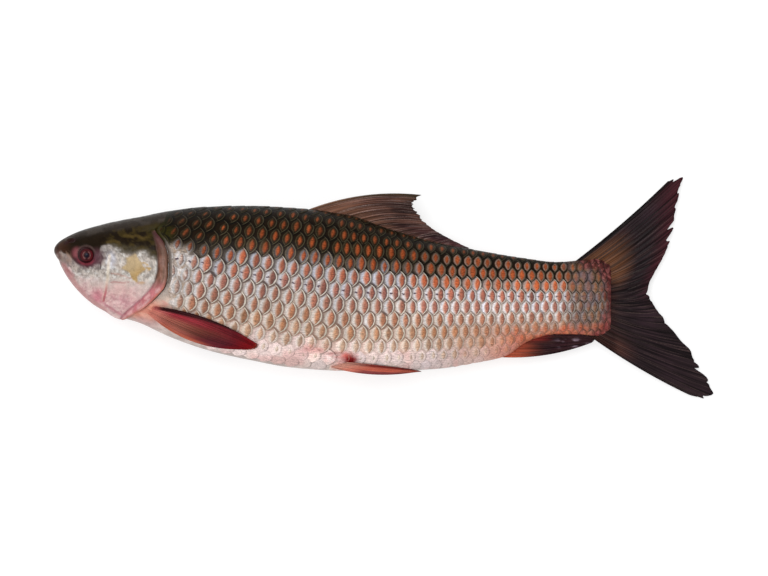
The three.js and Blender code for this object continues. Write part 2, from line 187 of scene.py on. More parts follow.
PELVIC = dict(
    root=[(189, -48), (192, -47), (196, -45.7), (200, -44.4)],
    edge=[(244, -51.8), (248.5, -51.3), (250.6, -50.9), (249, -50.3)],
    bow=(-3, 0.4), rays=8, thick=2.6, thin=1.1, notch=0.01, ragged=0.01, tears=[], sheen="c88a7c",
)
PECTORAL = dict(
    root=[(67.5, -6.3), (66.4, -7.8), (65.2, -9.4), (64, -11)],
    edge=[(139.8, -32.6), (138, -35), (134, -36), (124.5, -35.8)],
    bow=(5, -6.4), rays=12, thick=2.6, thin=1.1, notch=0.02, ragged=0.015, tears=[], sheen="983638",
)
# the least height of a pelvic fin beside the middle of the body, its distance from the flank and
# a pectoral fin's, and how far the pectoral fin's root dips into the flesh
PELVIC_ROOT_HEIGHT = 10.0
PELVIC_TIP_HEIGHT = 6.0
PELVIC_STANDOFF = 0.6
PECTORAL_STANDOFF = 1.3
PECTORAL_ROOT_DIP = 2.6
# how far the dorsal fin's edge sags towards the table
FIN_SAG = 3.2

# width of the view at the height of the fins, and where the camera stands
VIEW_WIDTH = 524.544
VIEW_LEVEL = 15.0
CAMERA_PLACE = (0.2, 0.5, 8000.0)
SENSOR_WIDTH = 36
FLOOR_REACH = 6000.0


# --- curves and noise

NOISE_SIDE = 256


def smooth_curve(pairs, scale=lambda q: q):
    """A function through the pairs that never overshoots them."""
    table = np.array(pairs, float)
    at = scale(table[:, 0])
    value = table[:, 1]
    rise = np.diff(value) / np.diff(at)
    slope = np.empty(len(value))
    slope[0] = rise[0]
    slope[-1] = rise[-1]
    before, after = rise[:-1], rise[1:]
    total = np.where(before * after > 0, before + after, 1.0)
    slope[1:-1] = np.where(before * after > 0, 2 * before * after / total, 0.0)

    def curve(x):
        q = np.clip(scale(np.asarray(x, float)), at[0], at[-1])
        i = np.clip(np.searchsorted(at, q, side="right") - 1, 0, len(at) - 2)
        width = at[i + 1] - at[i]
        t = (q - at[i]) / width
        u = 1 - t
        return (
            value[i] * u * u * (1 + 2 * t)
            + value[i + 1] * t * t * (3 - 2 * t)
            + width * u * t * (slope[i] * u - slope[i + 1] * t)
        )

    return curve


def ramp(low, high, x):
    """Smooth rise from 0 at low to 1 at high, or a fall where high is below low."""
    t = np.clip((x - low) / (high - low), 0, 1)
    return t * t * (3 - 2 * t)


@functools.cache
def noise_grid(seed):
    return np.random.default_rng(seed).random((NOISE_SIDE, NOISE_SIDE))


def value_noise(x, y, size, seed):
    """Smooth random values from 0 to 1 over the plane, about size across."""
    grid = noise_grid(seed)
    u = np.asarray(x) / size
    v = np.asarray(y) / size
    i = np.floor(u).astype(int)
    j = np.floor(v).astype(int)
    s = ramp(0, 1, u - i)
    t = ramp(0, 1, v - j)
    i, j, right, above = (k % NOISE_SIDE for k in (i, j, i + 1, j + 1))
    low = grid[i, j] * (1 - s) + grid[right, j] * s
    high = grid[i, above] * (1 - s) + grid[right, above] * s
    return low * (1 - t) + high * t


def cloud(x, y, size, seed):
    """Value noise at three sizes, from 0 to 1."""
    return (
        0.55 * value_noise(x, y, size, seed)
        + 0.3 * value_noise(x, y, size / 2.2, seed + 1)
        + 0.15 * value_noise(x, y, size / 4.7, seed + 2)
    )


def patches(x, y, size, seed, low, high):
    """1 in the patches where the cloud of that size is above high, and 0 where it is below low."""
    return ramp(low, high, cloud(x, y, size, seed))


back_at = smooth_curve(STATIONS[:, [0, 1]], np.sqrt)
belly_at = smooth_curve(STATIONS[:, [0, 2]], np.sqrt)
half_width_at = smooth_curve(STATIONS[:, [0, 3]], np.sqrt)
mid_height_at = smooth_curve(MID_HEIGHT)
gill_edge_at = smooth_curve(GILL_EDGE)
lateral_height_at = smooth_curve(LATERAL_LINE)
pitch_at = smooth_curve(SCALE_PITCH)
spacing_at = smooth_curve(ROW_SPACING)
dark_reach_at = smooth_curve(DARK_REACH)
brightness_at = smooth_curve(SCALE_BRIGHTNESS)
dark_border_at = smooth_curve(DARK_BORDER)
gloss_border_at = smooth_curve(GLOSS_BORDER)


# --- the skin as a surface

SKIN_ROWS = 420
SKIN_SHARES = 241
SECTION_STEPS = 901


def skin_tables():
    """Height, outward distance and unit normal over a grid of x and share, and half the girth."""
    x = np.linspace(0.02, math.sqrt(BODY_END), SKIN_ROWS) ** 2
    share = np.linspace(0, 1, SKIN_SHARES)
    turn = np.linspace(0, math.pi, SECTION_STEPS)
    power = 2 / FULLNESS
    up = np.sign(np.cos(turn)) * np.abs(np.cos(turn)) ** power
    out = np.maximum(np.sin(turn), 0) ** power
    depth = (back_at(x) - belly_at(x)) / 2
    centre = (back_at(x) + belly_at(x)) / 2
    y_fine = centre[:, None] + depth[:, None] * up
    w_fine = half_width_at(x)[:, None] * out
    step = np.hypot(np.diff(y_fine, axis=1), np.diff(w_fine, axis=1))
    run = np.concatenate([np.zeros((len(x), 1)), np.cumsum(step, axis=1)], axis=1)
    girth = run[:, -1]
    y = np.empty((len(x), len(share)))
    w = np.empty_like(y)
    for i in range(len(x)):
        y[i] = np.interp(share * girth[i], run[i], y_fine[i])
        w[i] = np.interp(share * girth[i], run[i], w_fine[i])
    place = np.stack([np.broadcast_to(x[:, None], y.shape), y, w], axis=-1)
    along = np.gradient(place, axis=0)
    around = np.gradient(place, axis=1)
    normal = np.cross(along, around)
    normal /= np.linalg.norm(normal, axis=-1, keepdims=True)
    normal *= np.where(normal[:, SKIN_SHARES // 2, 2] < 0, -1, 1)[:, None, None]
    normal[:, [0, -1], 2] = 0
    normal /= np.linalg.norm(normal, axis=-1, keepdims=True)
    lateral = np.array([
        np.interp(-lateral_height_at(x[i]), -y[i], share) for i in range(len(x))
    ])
    return x, place, normal, girth, lateral


SKIN_X, SKIN_PLACE, SKIN_NORMAL, SKIN_GIRTH, SKIN_LATERAL = skin_tables()


def lookup(table, x, share):
    """Bilinear value of a skin table at x and share."""
    root = np.sqrt(np.clip(x, SKIN_X[0], BODY_END))
    low, high = math.sqrt(SKIN_X[0]), math.sqrt(BODY_END)
    u = (root - low) / (high - low) * (SKIN_ROWS - 1)
    v = np.clip(share, 0, 1) * (SKIN_SHARES - 1)
    i = np.clip(np.floor(u).astype(int), 0, SKIN_ROWS - 2)
    j = np.clip(np.floor(v).astype(int), 0, SKIN_SHARES - 2)
    s = (u - i)[..., None]
    t = (v - j)[..., None]
    return (table[i, j] * (1 - s) + table[i + 1, j] * s) * (1 - t) + (
        table[i, j + 1] * (1 - s) + table[i + 1, j + 1] * s
    ) * t


def settle(z):
    """Flesh that would sink into the table is pressed flat on it, keeping a trace of its relief."""
    pressed = PRESSED_DEPTH * np.exp((np.minimum(z, PRESSED_DEPTH) - PRESSED_DEPTH) / PRESSED_DEPTH)
    return np.where(z > PRESSED_DEPTH, z, pressed) + TABLE_CLEARANCE * ramp(PRESSED_DEPTH * 2, 0, z)


def skin_point(x, share, lift, side):
    """Points of the skin, raised along the normal. share runs on over a midline to the other side."""
    x, share, lift = np.broadcast_arrays(
        np.asarray(x, float), np.asarray(share, float), np.asarray(lift, float)
    )
    over = (share < 0) | (share > 1)
    folded = np.where(share < 0, -share, np.where(share > 1, 2 - share, share))
    sign = np.where(over, -side, side)
    place = lookup(SKIN_PLACE, x, folded)
    normal = lookup(SKIN_NORMAL, x, folded)
    raised = place + normal * lift[..., None]
    beyond = np.maximum(x - BODY_END, 0)
    px = raised[..., 0] + beyond
    pz = mid_height_at(px) + sign * raised[..., 2]
    return np.stack([px, raised[..., 1], settle(pz)], axis=-1)


def half_girth_at(x):
    """Length round one flank from the back to the belly."""
    return np.interp(x, SKIN_X, SKIN_GIRTH)


def lateral_share_at(x):
    """Share of the way from the back to the belly where the lateral line runs."""
    return np.interp(x, SKIN_X, SKIN_LATERAL)


def row_at(x, share):
    """Number of the row of scales, counted up from the lateral line."""
    return (lateral_share_at(x) - share) * half_girth_at(x) / spacing_at(x)


def flank_at(x, y):
    """Distance of the flank from the middle of the body."""
    centre = (back_at(x) + belly_at(x)) / 2
    depth = (back_at(x) - belly_at(x)) / 2
    out = np.minimum(np.abs(y - centre) / depth, 1)
    return half_width_at(x) * (1 - out**FULLNESS) ** (1 / FULLNESS)


# --- meshes

# corner of the bake map that the small faces at the ends share
CAP_UV = 0.005


def make_piece(name, points, faces, corner_uv, attributes, material, stands_for):
    """A smooth-shaded piece on the fish, with its bake map and its per-vertex attributes."""
    mesh = bpy.data.meshes.new(name)
    moved = (points + OFFSET) * MM
    mesh.from_pydata(moved.tolist(), [], faces)
    mesh.shade_smooth()
    uv = mesh.uv_layers.new(name="OFBake")
    uv.data.foreach_set("uv", corner_uv.astype(np.float32).ravel())
    for key, values in attributes.items():
        width = values.shape[1] if values.ndim > 1 else 1
        kind = {1: "FLOAT", 3: "FLOAT_VECTOR", 4: "FLOAT_COLOR"}[width]
        layer = mesh.attributes.new(key, kind, "POINT")
        field = {1: "value", 3: "vector", 4: "color"}[width]
        layer.data.foreach_set(field, values.astype(np.float32).ravel())
    mesh.materials.append(material)
    piece = bpy.data.objects.new(name, mesh)
    bpy.context.scene.collection.objects.link(piece)
    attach(piece, "root")
    if stands_for:
        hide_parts(stands_for)
    return piece


def grid_faces(rows, columns, wraps):
    """Quads of a grid of vertices, and the same quads' corner places in the grid."""
    i, j = np.mgrid[0 : rows - 1, 0 : columns if wraps else columns - 1]
    k = (j + 1) % columns
    here, after = i * columns, (i + 1) * columns
    corners = np.stack([here + j, here + k, after + k, after + j], axis=-1)
    u = np.stack([i, i, i + 1, i + 1], axis=-1)
    v = np.stack([j, j + 1, j + 1, j], axis=-1)
    return corners.reshape(-1, 4), u.reshape(-1, 4), v.reshape(-1, 4)


def wrapped_grid(rows, columns):
    """Quads of a grid that closes on itself sideways, and their corners' places in the bake map."""
    corners, u, v = grid_faces(rows, columns, True)
    return corners, np.stack([u / (rows - 1), v / columns], axis=-1) * 0.98 + 0.01


def tube(rings, ends, flip):
    """Points, faces and bake map of rings of points that are closed at both ends by a point."""
    count, around = rings.shape[:2]
    corners, uv = wrapped_grid(count, around)
    k = np.arange(around)
    after = (k + 1) % around
    last = (count - 1) * around
    tip = np.full(around, count * around)
    front = np.stack([tip, after, k], axis=-1)
    rear = np.stack([tip + 1, last + k, last + after], axis=-1)
    order = slice(None, None, -1) if flip else slice(None)
    faces = corners[:, order].tolist() + front[:, order].tolist() + rear[:, order].tolist()
    cap_uv = np.full((6 * around, 2), CAP_UV)
    flat_uv = np.concatenate([uv[:, order].reshape(-1, 2), cap_uv])
    return np.concatenate([rings.reshape(-1, 3), ends]), faces, flat_uv


# --- colours


def linear(code, alpha=1.0):
    """A hex colour as linear red, green, blue and alpha."""
    values = np.array([int(code[i : i + 2], 16) / 255 for i in (0, 2, 4)])
    low = values / 12.92
    high = ((values + 0.055) / 1.055) ** 2.4
    return np.append(np.where(values <= 0.04045, low, high), alpha)


def colour_scale(stops):
    """A function from a number to a colour between the stops."""
    at = np.array([s[0] for s in stops], float)
    colours = np.array([linear(s[1]) for s in stops])

    def colour(value):
        return np.stack([np.interp(value, at, colours[:, c]) for c in range(4)], axis=-1)

    return colour


def paint(colours, mask, code):
    """Lays a colour over others where the mask is 1."""
    m = np.clip(mask, 0, 1)[..., None]
    return colours * (1 - m) + linear(code) * m


def lay(colours, x, y, coats):
    """Paints coat after coat: a hex colour, how strong it is, and the mask it has with its numbers."""
    for code, strength, *shape in coats:
        if shape:
            strength = strength * shape[0](x, y, *shape[1:])
        colours = paint(colours, strength, code)
    return colours


def segment_distance(x, y, points):
    """Distance to a polyline."""
    best = np.full(np.shape(x), 1e9)
    for (x0, y0), (x1, y1) in zip(points[:-1], points[1:]):
        dx, dy = x1 - x0, y1 - y0
        t = np.clip(((x - x0) * dx + (y - y0) * dy) / (dx * dx + dy * dy), 0, 1)
        best = np.minimum(best, np.hypot(x - x0 - t * dx, y - y0 - t * dy))
    return best


def polygon_mask(x, y, corners, soft):
    """1 inside a polygon and 0 outside, over a soft edge."""
    inside = np.zeros(np.shape(x), bool)
    closed = corners + corners[:1]
    for (x0, y0), (x1, y1) in zip(closed[:-1], closed[1:]):
        crosses = (y0 > y) != (y1 > y)
        with np.errstate(divide="ignore", invalid="ignore"):
            at = x0 + (y - y0) * (x1 - x0) / (y1 - y0 if y1 != y0 else 1e-9)
        inside ^= crosses & (x < at)
    far = segment_distance(x, y, closed)
    return ramp(-soft, soft, np.where(inside, far, -far))


def blob(x, y, cx, cy, rx, ry, soft=0.4):
    """1 in an ellipse, falling to 0 across a share of its radius."""
    far = np.hypot((x - cx) / rx, (y - cy) / ry)
    return ramp(1 + soft, 1 - soft, far)


def line_mask(x, y, points, width):
    """1 along a polyline, falling to 0 at width from it."""
    return ramp(width, width * 0.25, segment_distance(x, y, points))


# --- node helpers


def operator(operation, swapped=False):
    """A method of Value that adds the node for one operation."""

    def apply(self, *others):
        values = (*others, self) if swapped else (self, *others)
        return self.shader.math(operation, *values)

    return apply


class Value:
    """A number worked out by a material's nodes, with Python's own operators on it."""

    def __init__(self, shader, socket):
        self.shader = shader
        self.socket = socket

    __add__ = operator("ADD")
    __sub__ = operator("SUBTRACT")
    __rsub__ = operator("SUBTRACT", swapped=True)
    __mul__ = operator("MULTIPLY")
    __truediv__ = operator("DIVIDE")
    __rtruediv__ = operator("DIVIDE", swapped=True)
    __pow__ = operator("POWER")
    __abs__ = operator("ABSOLUTE")

    def step(self, low, high):
        """Smooth rise from 0 at low to 1 at high, or a fall where high is below low."""
        limits = {"Value": self, "From Min": low, "From Max": high}
        return self.shader.map_range(limits, interpolation_type="SMOOTHSTEP")

    def spread(self, low, high):
        """0 to 1 spread over low to high."""
        return self.shader.map_range({"Value": self, "To Min": low, "To Max": high})


class Shader:
    """A material with one Principled shader, and short ways to add its nodes."""

    def __init__(self, name, **fixed):
        self.material = bpy.data.materials.new(name)
        self.material.use_nodes = True
        self.tree = self.material.node_tree
        self.principled = next(n for n in self.tree.nodes if n.type == "BSDF_PRINCIPLED")
        for key, value in fixed.items():
            self.principled.inputs[key.replace("_", " ")].default_value = value

    def node(self, kind, inputs=(), **settings):
        made = self.tree.nodes.new(kind)
        for key, value in settings.items():
            setattr(made, key, value)
        for key, value in dict(inputs).items():
            self.feed(made.inputs[key], value)
        return made

    def feed(self, socket, value):
        """Links a socket to a value of the nodes, or sets it to a plain one."""
        if isinstance(value, Value):
            value = value.socket
        if isinstance(value, bpy.types.NodeSocket):
            self.tree.links.new(value, socket)
        else:
            socket.default_value = value

    def math(self, operation, *values):
        made = self.node("ShaderNodeMath", enumerate(values), operation=operation)
        return Value(self, made.outputs[0])

    def map_range(self, inputs, **settings):
        made = self.node("ShaderNodeMapRange", inputs, **settings)
        return Value(self, made.outputs["Result"])

    def mix(self, factor, a, b, blend="MIX"):
        inputs = {"Factor": factor, 6: a, 7: b}
        return self.node("ShaderNodeMix", inputs, data_type="RGBA", blend_type=blend).outputs[2]

    def attribute(self, name, socket):
        return self.node("ShaderNodeAttribute", attribute_name=name).outputs[socket]

    def colour(self, name):
        return self.attribute(name, "Color")

    def numbers(self, name):
        """The three numbers of an attribute."""
        made = self.node("ShaderNodeSeparateXYZ", {0: self.attribute(name, "Vector")})
        return [Value(self, socket) for socket in made.outputs]

    def texture(self, place, scale, detail):
        made = self.node("ShaderNodeTexNoise", {"Vector": place, "Scale": scale, "Detail": detail})
        return Value(self, made.outputs["Fac"])

    def noise(self, scale, detail, stretch=(1, 1, 1)):
        """Noise through the piece, with its middle range spread over 0 to 1."""
        place = self.node("ShaderNodeTexCoord").outputs["Object"]
        stretched = self.node("ShaderNodeMapping", {"Vector": place, "Scale": stretch})
        found = self.texture(stretched.outputs["Vector"], scale, detail)
        return self.map_range({"Value": found, "From Min": 0.3, "From Max": 0.7})

    def surface(self, key, value):
        self.feed(self.principled.inputs[key], value)

    def bump(self, height, distance, strength):
        inputs = {"Height": height, "Distance": distance, "Strength": strength}
        self.surface("Normal", self.node("ShaderNodeBump", inputs).outputs["Normal"])


def skin_material():
    """Wet, slimy skin: painted colours with fine mottling."""
    s = Shader("wet_skin", Coat_Weight=0.05, Coat_Roughness=0.12, Specular_IOR_Level=0.04)
    fine = s.noise(1400, 4)
    broad = s.noise(260, 3)
    shade = ((fine + broad) * 0.5).spread(0.7, 1.3)
    s.surface("Base Color", s.mix(1.0, s.colour("tint"), shade, "MULTIPLY"))
    s.surface("Roughness", broad.spread(0.28, 0.5))
    s.bump(fine, 0.00012, 0.6)
    return s.material


def scale_material():
    """One scale after another: pale front, coloured spot, pale free rim, and a dark line of painted
    shadow where each rim lies over the next scale.

    On a plate, a runs towards the tail in pitches and b across the row in row spacings.
    """
    s = Shader("wet_scales", Coat_Weight=0.04, Coat_Roughness=0.15, Specular_IOR_Level=0.04)
    base, glint, spot, rim, shade = (s.colour(key) for key in ("base", "glint", "spot", "rim", "shade"))
    a, b, pore = s.numbers("plate")
    size, front, rim_weight = s.numbers("spot_shape")
    lean, ringed, hugged = s.numbers("spot_edge")
    grain = s.noise(1300, 4)
    streaks = s.noise(700, 4, (0.4, 2.0, 2.0))
    rough = (streaks + grain) * 0.5
    wobble = (s.noise(420, 3) - 0.5) * 0.06
    aside = abs(b)

    def rear(across):
        """The same curve as the function rim_reach."""
        inside = s.math("MINIMUM", abs(across), RIM_WIDTH)
        return inside**RIM_POWER * -RIM_FALL + RIM_REACH

    edge = rear(b) - a + wobble
    seen = a - s.math("MAXIMUM", rear(b) - 1.0, rear(aside - 1.0) - 0.5)

    # the spot is a lens, pale in front and dark behind, with a bright crescent before it; its dark side
    # is partly the spot's own brown and partly painted shade of its bulge
    inverse = 1.0 / s.math("MAXIMUM", size, 0.02)
    place = (a - lean * b - SPOT_MIDDLE) * inverse
    swell = 1.0 - (aside * inverse / SPOT_HALF) ** 2.0
    from_front = swell * front + place + wobble
    from_rear = swell * SPOT_REAR - place + wobble
    crescent = from_front.step(-0.26, -0.04) * from_rear.step(-0.5, 0.1) * aside.step(0.62, 0.3)
    bright = s.mix(crescent * 0.9, base, glint)
    ring = from_front.step(-0.34, -0.27) * from_front.step(-0.13, -0.2)
    bright = s.mix(ring * ringed, bright, rim)
    behind = from_rear.step(-0.26, -0.1) * from_front.step(-0.2, 0.0)
    bright = s.mix(behind * hugged, bright, glint)
    mottled = s.mix(1.0, bright, rough.spread(0.48, 1.52), "MULTIPLY")
    grained = s.mix(1.0, spot, rough.spread(0.25, 1.75), "MULTIPLY")
    lit = s.mix(from_front.step(0.26, 0.04) * 0.4, grained, rim)
    # dark_side: partly the spot's own brown and partly painted shade of the spot's bulge
    dark_side = from_rear.step(0.28, 0.0) * (0.76 - hugged * 0.5)
    in_spot = from_front.step(-0.04, 0.12) * from_rear.step(-0.03, 0.06) * size.step(0.06, 0.2)
    colour = s.mix(in_spot * 0.95, mottled, s.mix(dark_side, lit, shade))

    colour = s.mix(edge.step(0.24, 0.12) * rim_weight * 0.4, colour, shade)
    colour = s.mix(edge.step(0.12, 0.08) * rim_weight * 0.9, colour, rim)
    from_pore = (abs(a - 0.2) / 0.13) ** 2.0 + (abs(wobble * 2.0 + b) / 0.055) ** 2.0
    colour = s.mix(from_pore.step(2.0, 0.3) * pore, colour, linear("54444c").tolist())
    # painted shadow: a dark line just behind each rim where it lies over the next scale, wider and
    # deeper towards the cusps
    beside_middle = aside.step(0.15, 0.5)
    painted_gap_shadow = seen.step(beside_middle * 0.16 + 0.12, 0.02) * rim_weight * (beside_middle * 0.25 + 0.6)
    s.surface("Base Color", s.mix(painted_gap_shadow, colour, shade))
    s.surface("Roughness", streaks.spread(0.28, 0.55))
    s.bump(grain + streaks, 0.00012, 0.5)
    return s.material


def fin_material():
    """Wet fin skin, streaked along its rays."""
    s = Shader("wet_fin", Coat_Weight=0.05, Coat_Roughness=0.15, Specular_IOR_Level=0.04)
    along_rays = s.attribute("rays", "Vector")
    hairs = s.texture(along_rays, 1.0, 3.0)
    fine = s.noise(1500, 4)
    dark = hairs.step(0.36, 0.6).spread(0.38, 1.45)
    streaked = s.mix(1.0, s.colour("tint"), dark, "MULTIPLY")
    speckled = s.texture(along_rays, 1.7, 2.0).step(0.54, 0.68) * fine.spread(0.1, 0.75)
    s.surface("Base Color", s.mix(speckled * 0.7, streaked, s.colour("sheen")))
    s.surface("Roughness", hairs.spread(0.3, 0.6))
    s.bump(hairs * 1.5 + fine * 0.4, 0.0003, 0.6)
    return s.material


def eye_material():
    """The clear, wet front of an eyeball over its painted iris."""
    s = Shader("wet_eye", Coat_Weight=0.05, Coat_Roughness=0.2, Specular_IOR_Level=0.05)
    fine = s.noise(1800, 4)
    s.surface("Base Color", s.mix(1.0, s.colour("tint"), fine.spread(0.7, 1.3), "MULTIPLY"))
    s.surface("Roughness", fine.spread(0.1, 0.3))
    return s.material


# --- head and trunk

HEAD_RINGS = 150
TRUNK_RINGS = 110
ROUND = 200
# rings that turn in behind the gill cover: share of the gap, height, and how much painted shade darkens
# them
COVER_EDGE_RINGS = [
    (0.15, GILL_LIFT * 0.6, 0.2), (0.3, -0.6 * GILL_GROOVE, 0.9), (0.6, -1.0 * GILL_GROOVE, 0.9),
]
# depth of the trunk's skin under the scales
TRUNK_DEPTH = 0.25

STAR_PATCH = [
    (55.9, 29.5), (52.6, 27.3), (49.9, 26.3), (50.2, 22.2), (46.6, 19.3), (49.9, 17.8), (52.6, 16.7),
    (54.3, 12.3), (57.7, 9.9), (57.4, 14), (59.4, 16), (62.3, 18), (61.1, 20.8), (59.4, 23.9),
    (57.8, 26.3),
]
STAR_RAYS = [
    [(62, 18.6), (64.5, 19.9), (66.8, 19), (64.6, 18)],
    [(60.1, 22.7), (62.2, 22.9), (64.7, 21.7)],
]
COVER_CREASE = [
    (46.1, -13.5), (49.6, -10.2), (58.3, -3.4), (65.3, 3.6), (69.7, 10.5), (71.4, 17.8), (71.7, 27.3),
    (70.3, 35.8), (67.9, 43.7),
]
CHEEK_RIDGE = [(38.6, 28), (37.9, 21.2), (37.2, 13), (35.9, 4.8), (34.2, -2.1)]
CHEEK_CREASE = [(37.1, 14.3), (36.6, 8.9), (35.8, 3.4), (34.2, -2.7)]
COVER_SEAMS = [
    [(39.6, 15.7), (45.1, 15), (49.2, 13.7), (53.3, 12.6), (56.7, 12.3)],
    [(39.6, 9.9), (43, 10.1), (46.4, 9.6), (51.9, 9.8), (57.4, 9.4), (62.8, 9.6)],
]
LIP_LINE = [(2.2, 25.2), (5.4, 22.8), (9.2, 19), (13.5, 14.5)]
JAW_LINE = [(34.2, -4.8), (39.6, -8.2), (46.4, -11.6)]
TAN_STREAKS = [
    [(48.5, 41.7), (52.6, 41), (57.4, 41.4), (60.1, 40)],
    [(60.8, 38.9), (63.5, 40.3), (66.9, 41.3)],
    [(36.9, 36.9), (41, 38.2), (45.1, 36.9)],
]
DARK_SPECKS = [[(32.8, 28.7), (33.8, 26), (32.1, 23.2), (32.4, 19.1)], [(35.5, 17.1), (34.5, 15.7)]]
# colours of the trunk's skin from the belly, at row -8, to the back
TRUNK_BY_ROW = colour_scale([
    (-8, "a2948e"), (-6.6, "b0a09a"), (-5.4, "c8b6ae"), (-4, "a89286"), (-1, "6c625e"), (1.5, "4a4442"),
    (2.6, "100c06"), (9, "100c06"),
])


def ridge_line(x, y, points, width):
    """A soft ridge of height 1 along a line."""
    return np.exp(-((segment_distance(x, y, points) / width) ** 2))


def head_relief(x, y, share):
    """Height of the folds of the head over the smooth section, in millimetres."""
    edge = gill_edge_at(share)
    cover = ramp(0.18, 0.28, share)
    lift = GILL_LIFT * cover * ramp(0.72, 1, x / edge)
    lift -= 0.8 * ridge_line(x, y, COVER_CREASE, 0.9) * cover
    lift -= 0.7 * ridge_line(x, y, CHEEK_CREASE, 0.9)
    lift += 0.45 * ridge_line(x, y, CHEEK_RIDGE, 1.6)
    for seam in COVER_SEAMS:
        lift -= 0.25 * ridge_line(x, y, seam, 0.6)
    lift -= 0.4 * ridge_line(x, y, JAW_LINE, 0.9)
    lift -= 0.5 * ridge_line(x, y, LIP_LINE, 0.9)
    lift += 0.3 * ridge_line(x, y, [(9.5, 21), (13.5, 14.5)], 1.4)
    from_eye = np.hypot(x - EYE[0], y - EYE[1])
    lift += 0.5 * np.exp(-(((from_eye - 6.4) / 1.2) ** 2))
    lift -= 2.6 * ramp(5.3, 4.5, from_eye)
    nostril = np.hypot((x - NOSTRIL[0]) / 2.6, (y - NOSTRIL[1]) / 1.4)
    lift -= 0.9 * ramp(1.0, 0.5, nostril)
    lift += 0.35 * np.exp(-(((nostril - 1.2) / 0.25) ** 2))
    lift += 0.3 * (cloud(x, y, 4, 3) - 0.5) * ramp(18, 40, x)
    return lift


def head_colours(x, y, share):
    """Painted colours of the head."""
    c = cheek_and_cover(linear("bab0a8"), x, y)
    c = dark_head_top(c, x, y, share)
    c = around_eye(c, x, y)
    return gill_membrane(c, x, y, share)


def cheek_and_cover(c, x, y):
    """The silvery and pink lower part of the head, with its creases and the star patch."""
    upper = ramp(6, 15, y)
    pink = ramp(15, -2, y + 5 * (cloud(x, y, 9, 41) - 0.5) + 0.12 * (x - 40))
    near_eye = blob(x, y, 33, 26, 8, 9, 0.8) + 0.9 * blob(x, y, 19, 19.5, 8, 4, 0.8)
    near_eye = np.minimum(near_eye + 0.6 * blob(x, y, 12, 25, 5, 5, 0.8), 1)
    ragged = 1.6 * (cloud(x, y, 2.4, 67) - 0.5)
    star = polygon_mask(x + ragged, y + ragged, STAR_PATCH, 0.45)
    return lay(c, x, y, [
        ("8c8680", 0.8 * upper, patches, 2.8, 21, 0.46, 0.58),
        ("cbc8c4", 0.8 * upper, patches, 2.2, 31, 0.54, 0.64),
        ("6e6660", 0.45 * patches(x, y * 1.6, 1.3, 33, 0.55, 0.62) * upper),
        ("6c6060", 0.8, blob, 31, 28.5, 4.6, 6.5, 0.8),
        ("7c7470", 0.55, blob, 36.5, 32.5, 6, 4.5, 0.7),
        ("6c5a54", 0.85, blob, 9.6, 25.4, 5, 4.4, 0.8),
        ("c8c8d4", 0.7, blob, 39.5, 25, 3, 5, 0.7),
        ("8c7872", 0.5, blob, 11, 23, 8, 7, 0.6),
        ("c29a98", 0.85 * pink),
        ("bc8690", 0.5 * pink, patches, 7, 51, 0.45, 0.68),
        ("d8c0bc", 0.4 * pink, patches, 2.6, 53, 0.5, 0.62),
        ("96606a", 0.4 * patches(x, y * 1.5, 1.6, 55, 0.52, 0.6) * pink),
        ("c4a09a", 0.5, blob, 46, 5, 6, 5, 0.8),
        ("b06070", 0.7, blob, 30, 0, 4, 4.5, 0.8),
        ("ac7c7a", 0.8, line_mask, [(7, 21), (11, 14), (17, 5), (24, -3), (34, -9)], 3.4),
        ("9c5c62", 0.45, line_mask, [(8.6, 17.8), (11, 13)], 2.2),
        # painted highlight along the raised ridge by the mouth
        ("d8b4b4", 0.5, line_mask, [(10.5, 20), (13.6, 15)], 1.4),
        ("5a5050", 0.75 * near_eye, patches, 1.9, 61, 0.5, 0.6),
        ("3c3434", 0.8, line_mask, DARK_SPECKS[0], 0.8),
        ("54483f", 0.7, line_mask, DARK_SPECKS[1], 0.7),
        ("d6c6b0", 0.55, line_mask, CHEEK_RIDGE, 1.6),
        ("a44c5a", ramp(14, 1, y) * 0.85, line_mask, CHEEK_CREASE, 1.3),
        ("8c7c72", 0.35, line_mask, [(41, 22), (45, 21), (45.5, 18)], 1.2),
        ("96685a", 0.6, line_mask, COVER_SEAMS[0], 0.8),
        ("985a58", 0.6 * patches(x, y, 4, 65, 0.35, 0.5), line_mask, COVER_SEAMS[1], 0.8),
        ("a86470", 0.6, line_mask, JAW_LINE, 1.2),
        ("8c5a58", 0.45, line_mask, LIP_LINE, 1.5),
        ("8a7452", 0.5, line_mask, STAR_PATCH + STAR_PATCH[:1], 0.9),
        ("ac9674", star),
        ("a28048", star * ramp(22, 12, y - 0.5 * (x - 56)) * 0.75),
        ("94805f", star * 0.3, patches, 3, 69, 0.5, 0.65),
        *[("a8864c", 0.8, line_mask, ray, 0.8) for ray in STAR_RAYS],
        ("b08450", 0.6, blob, 60.5, 9.6, 2.2, 0.9, 0.6),
    ])


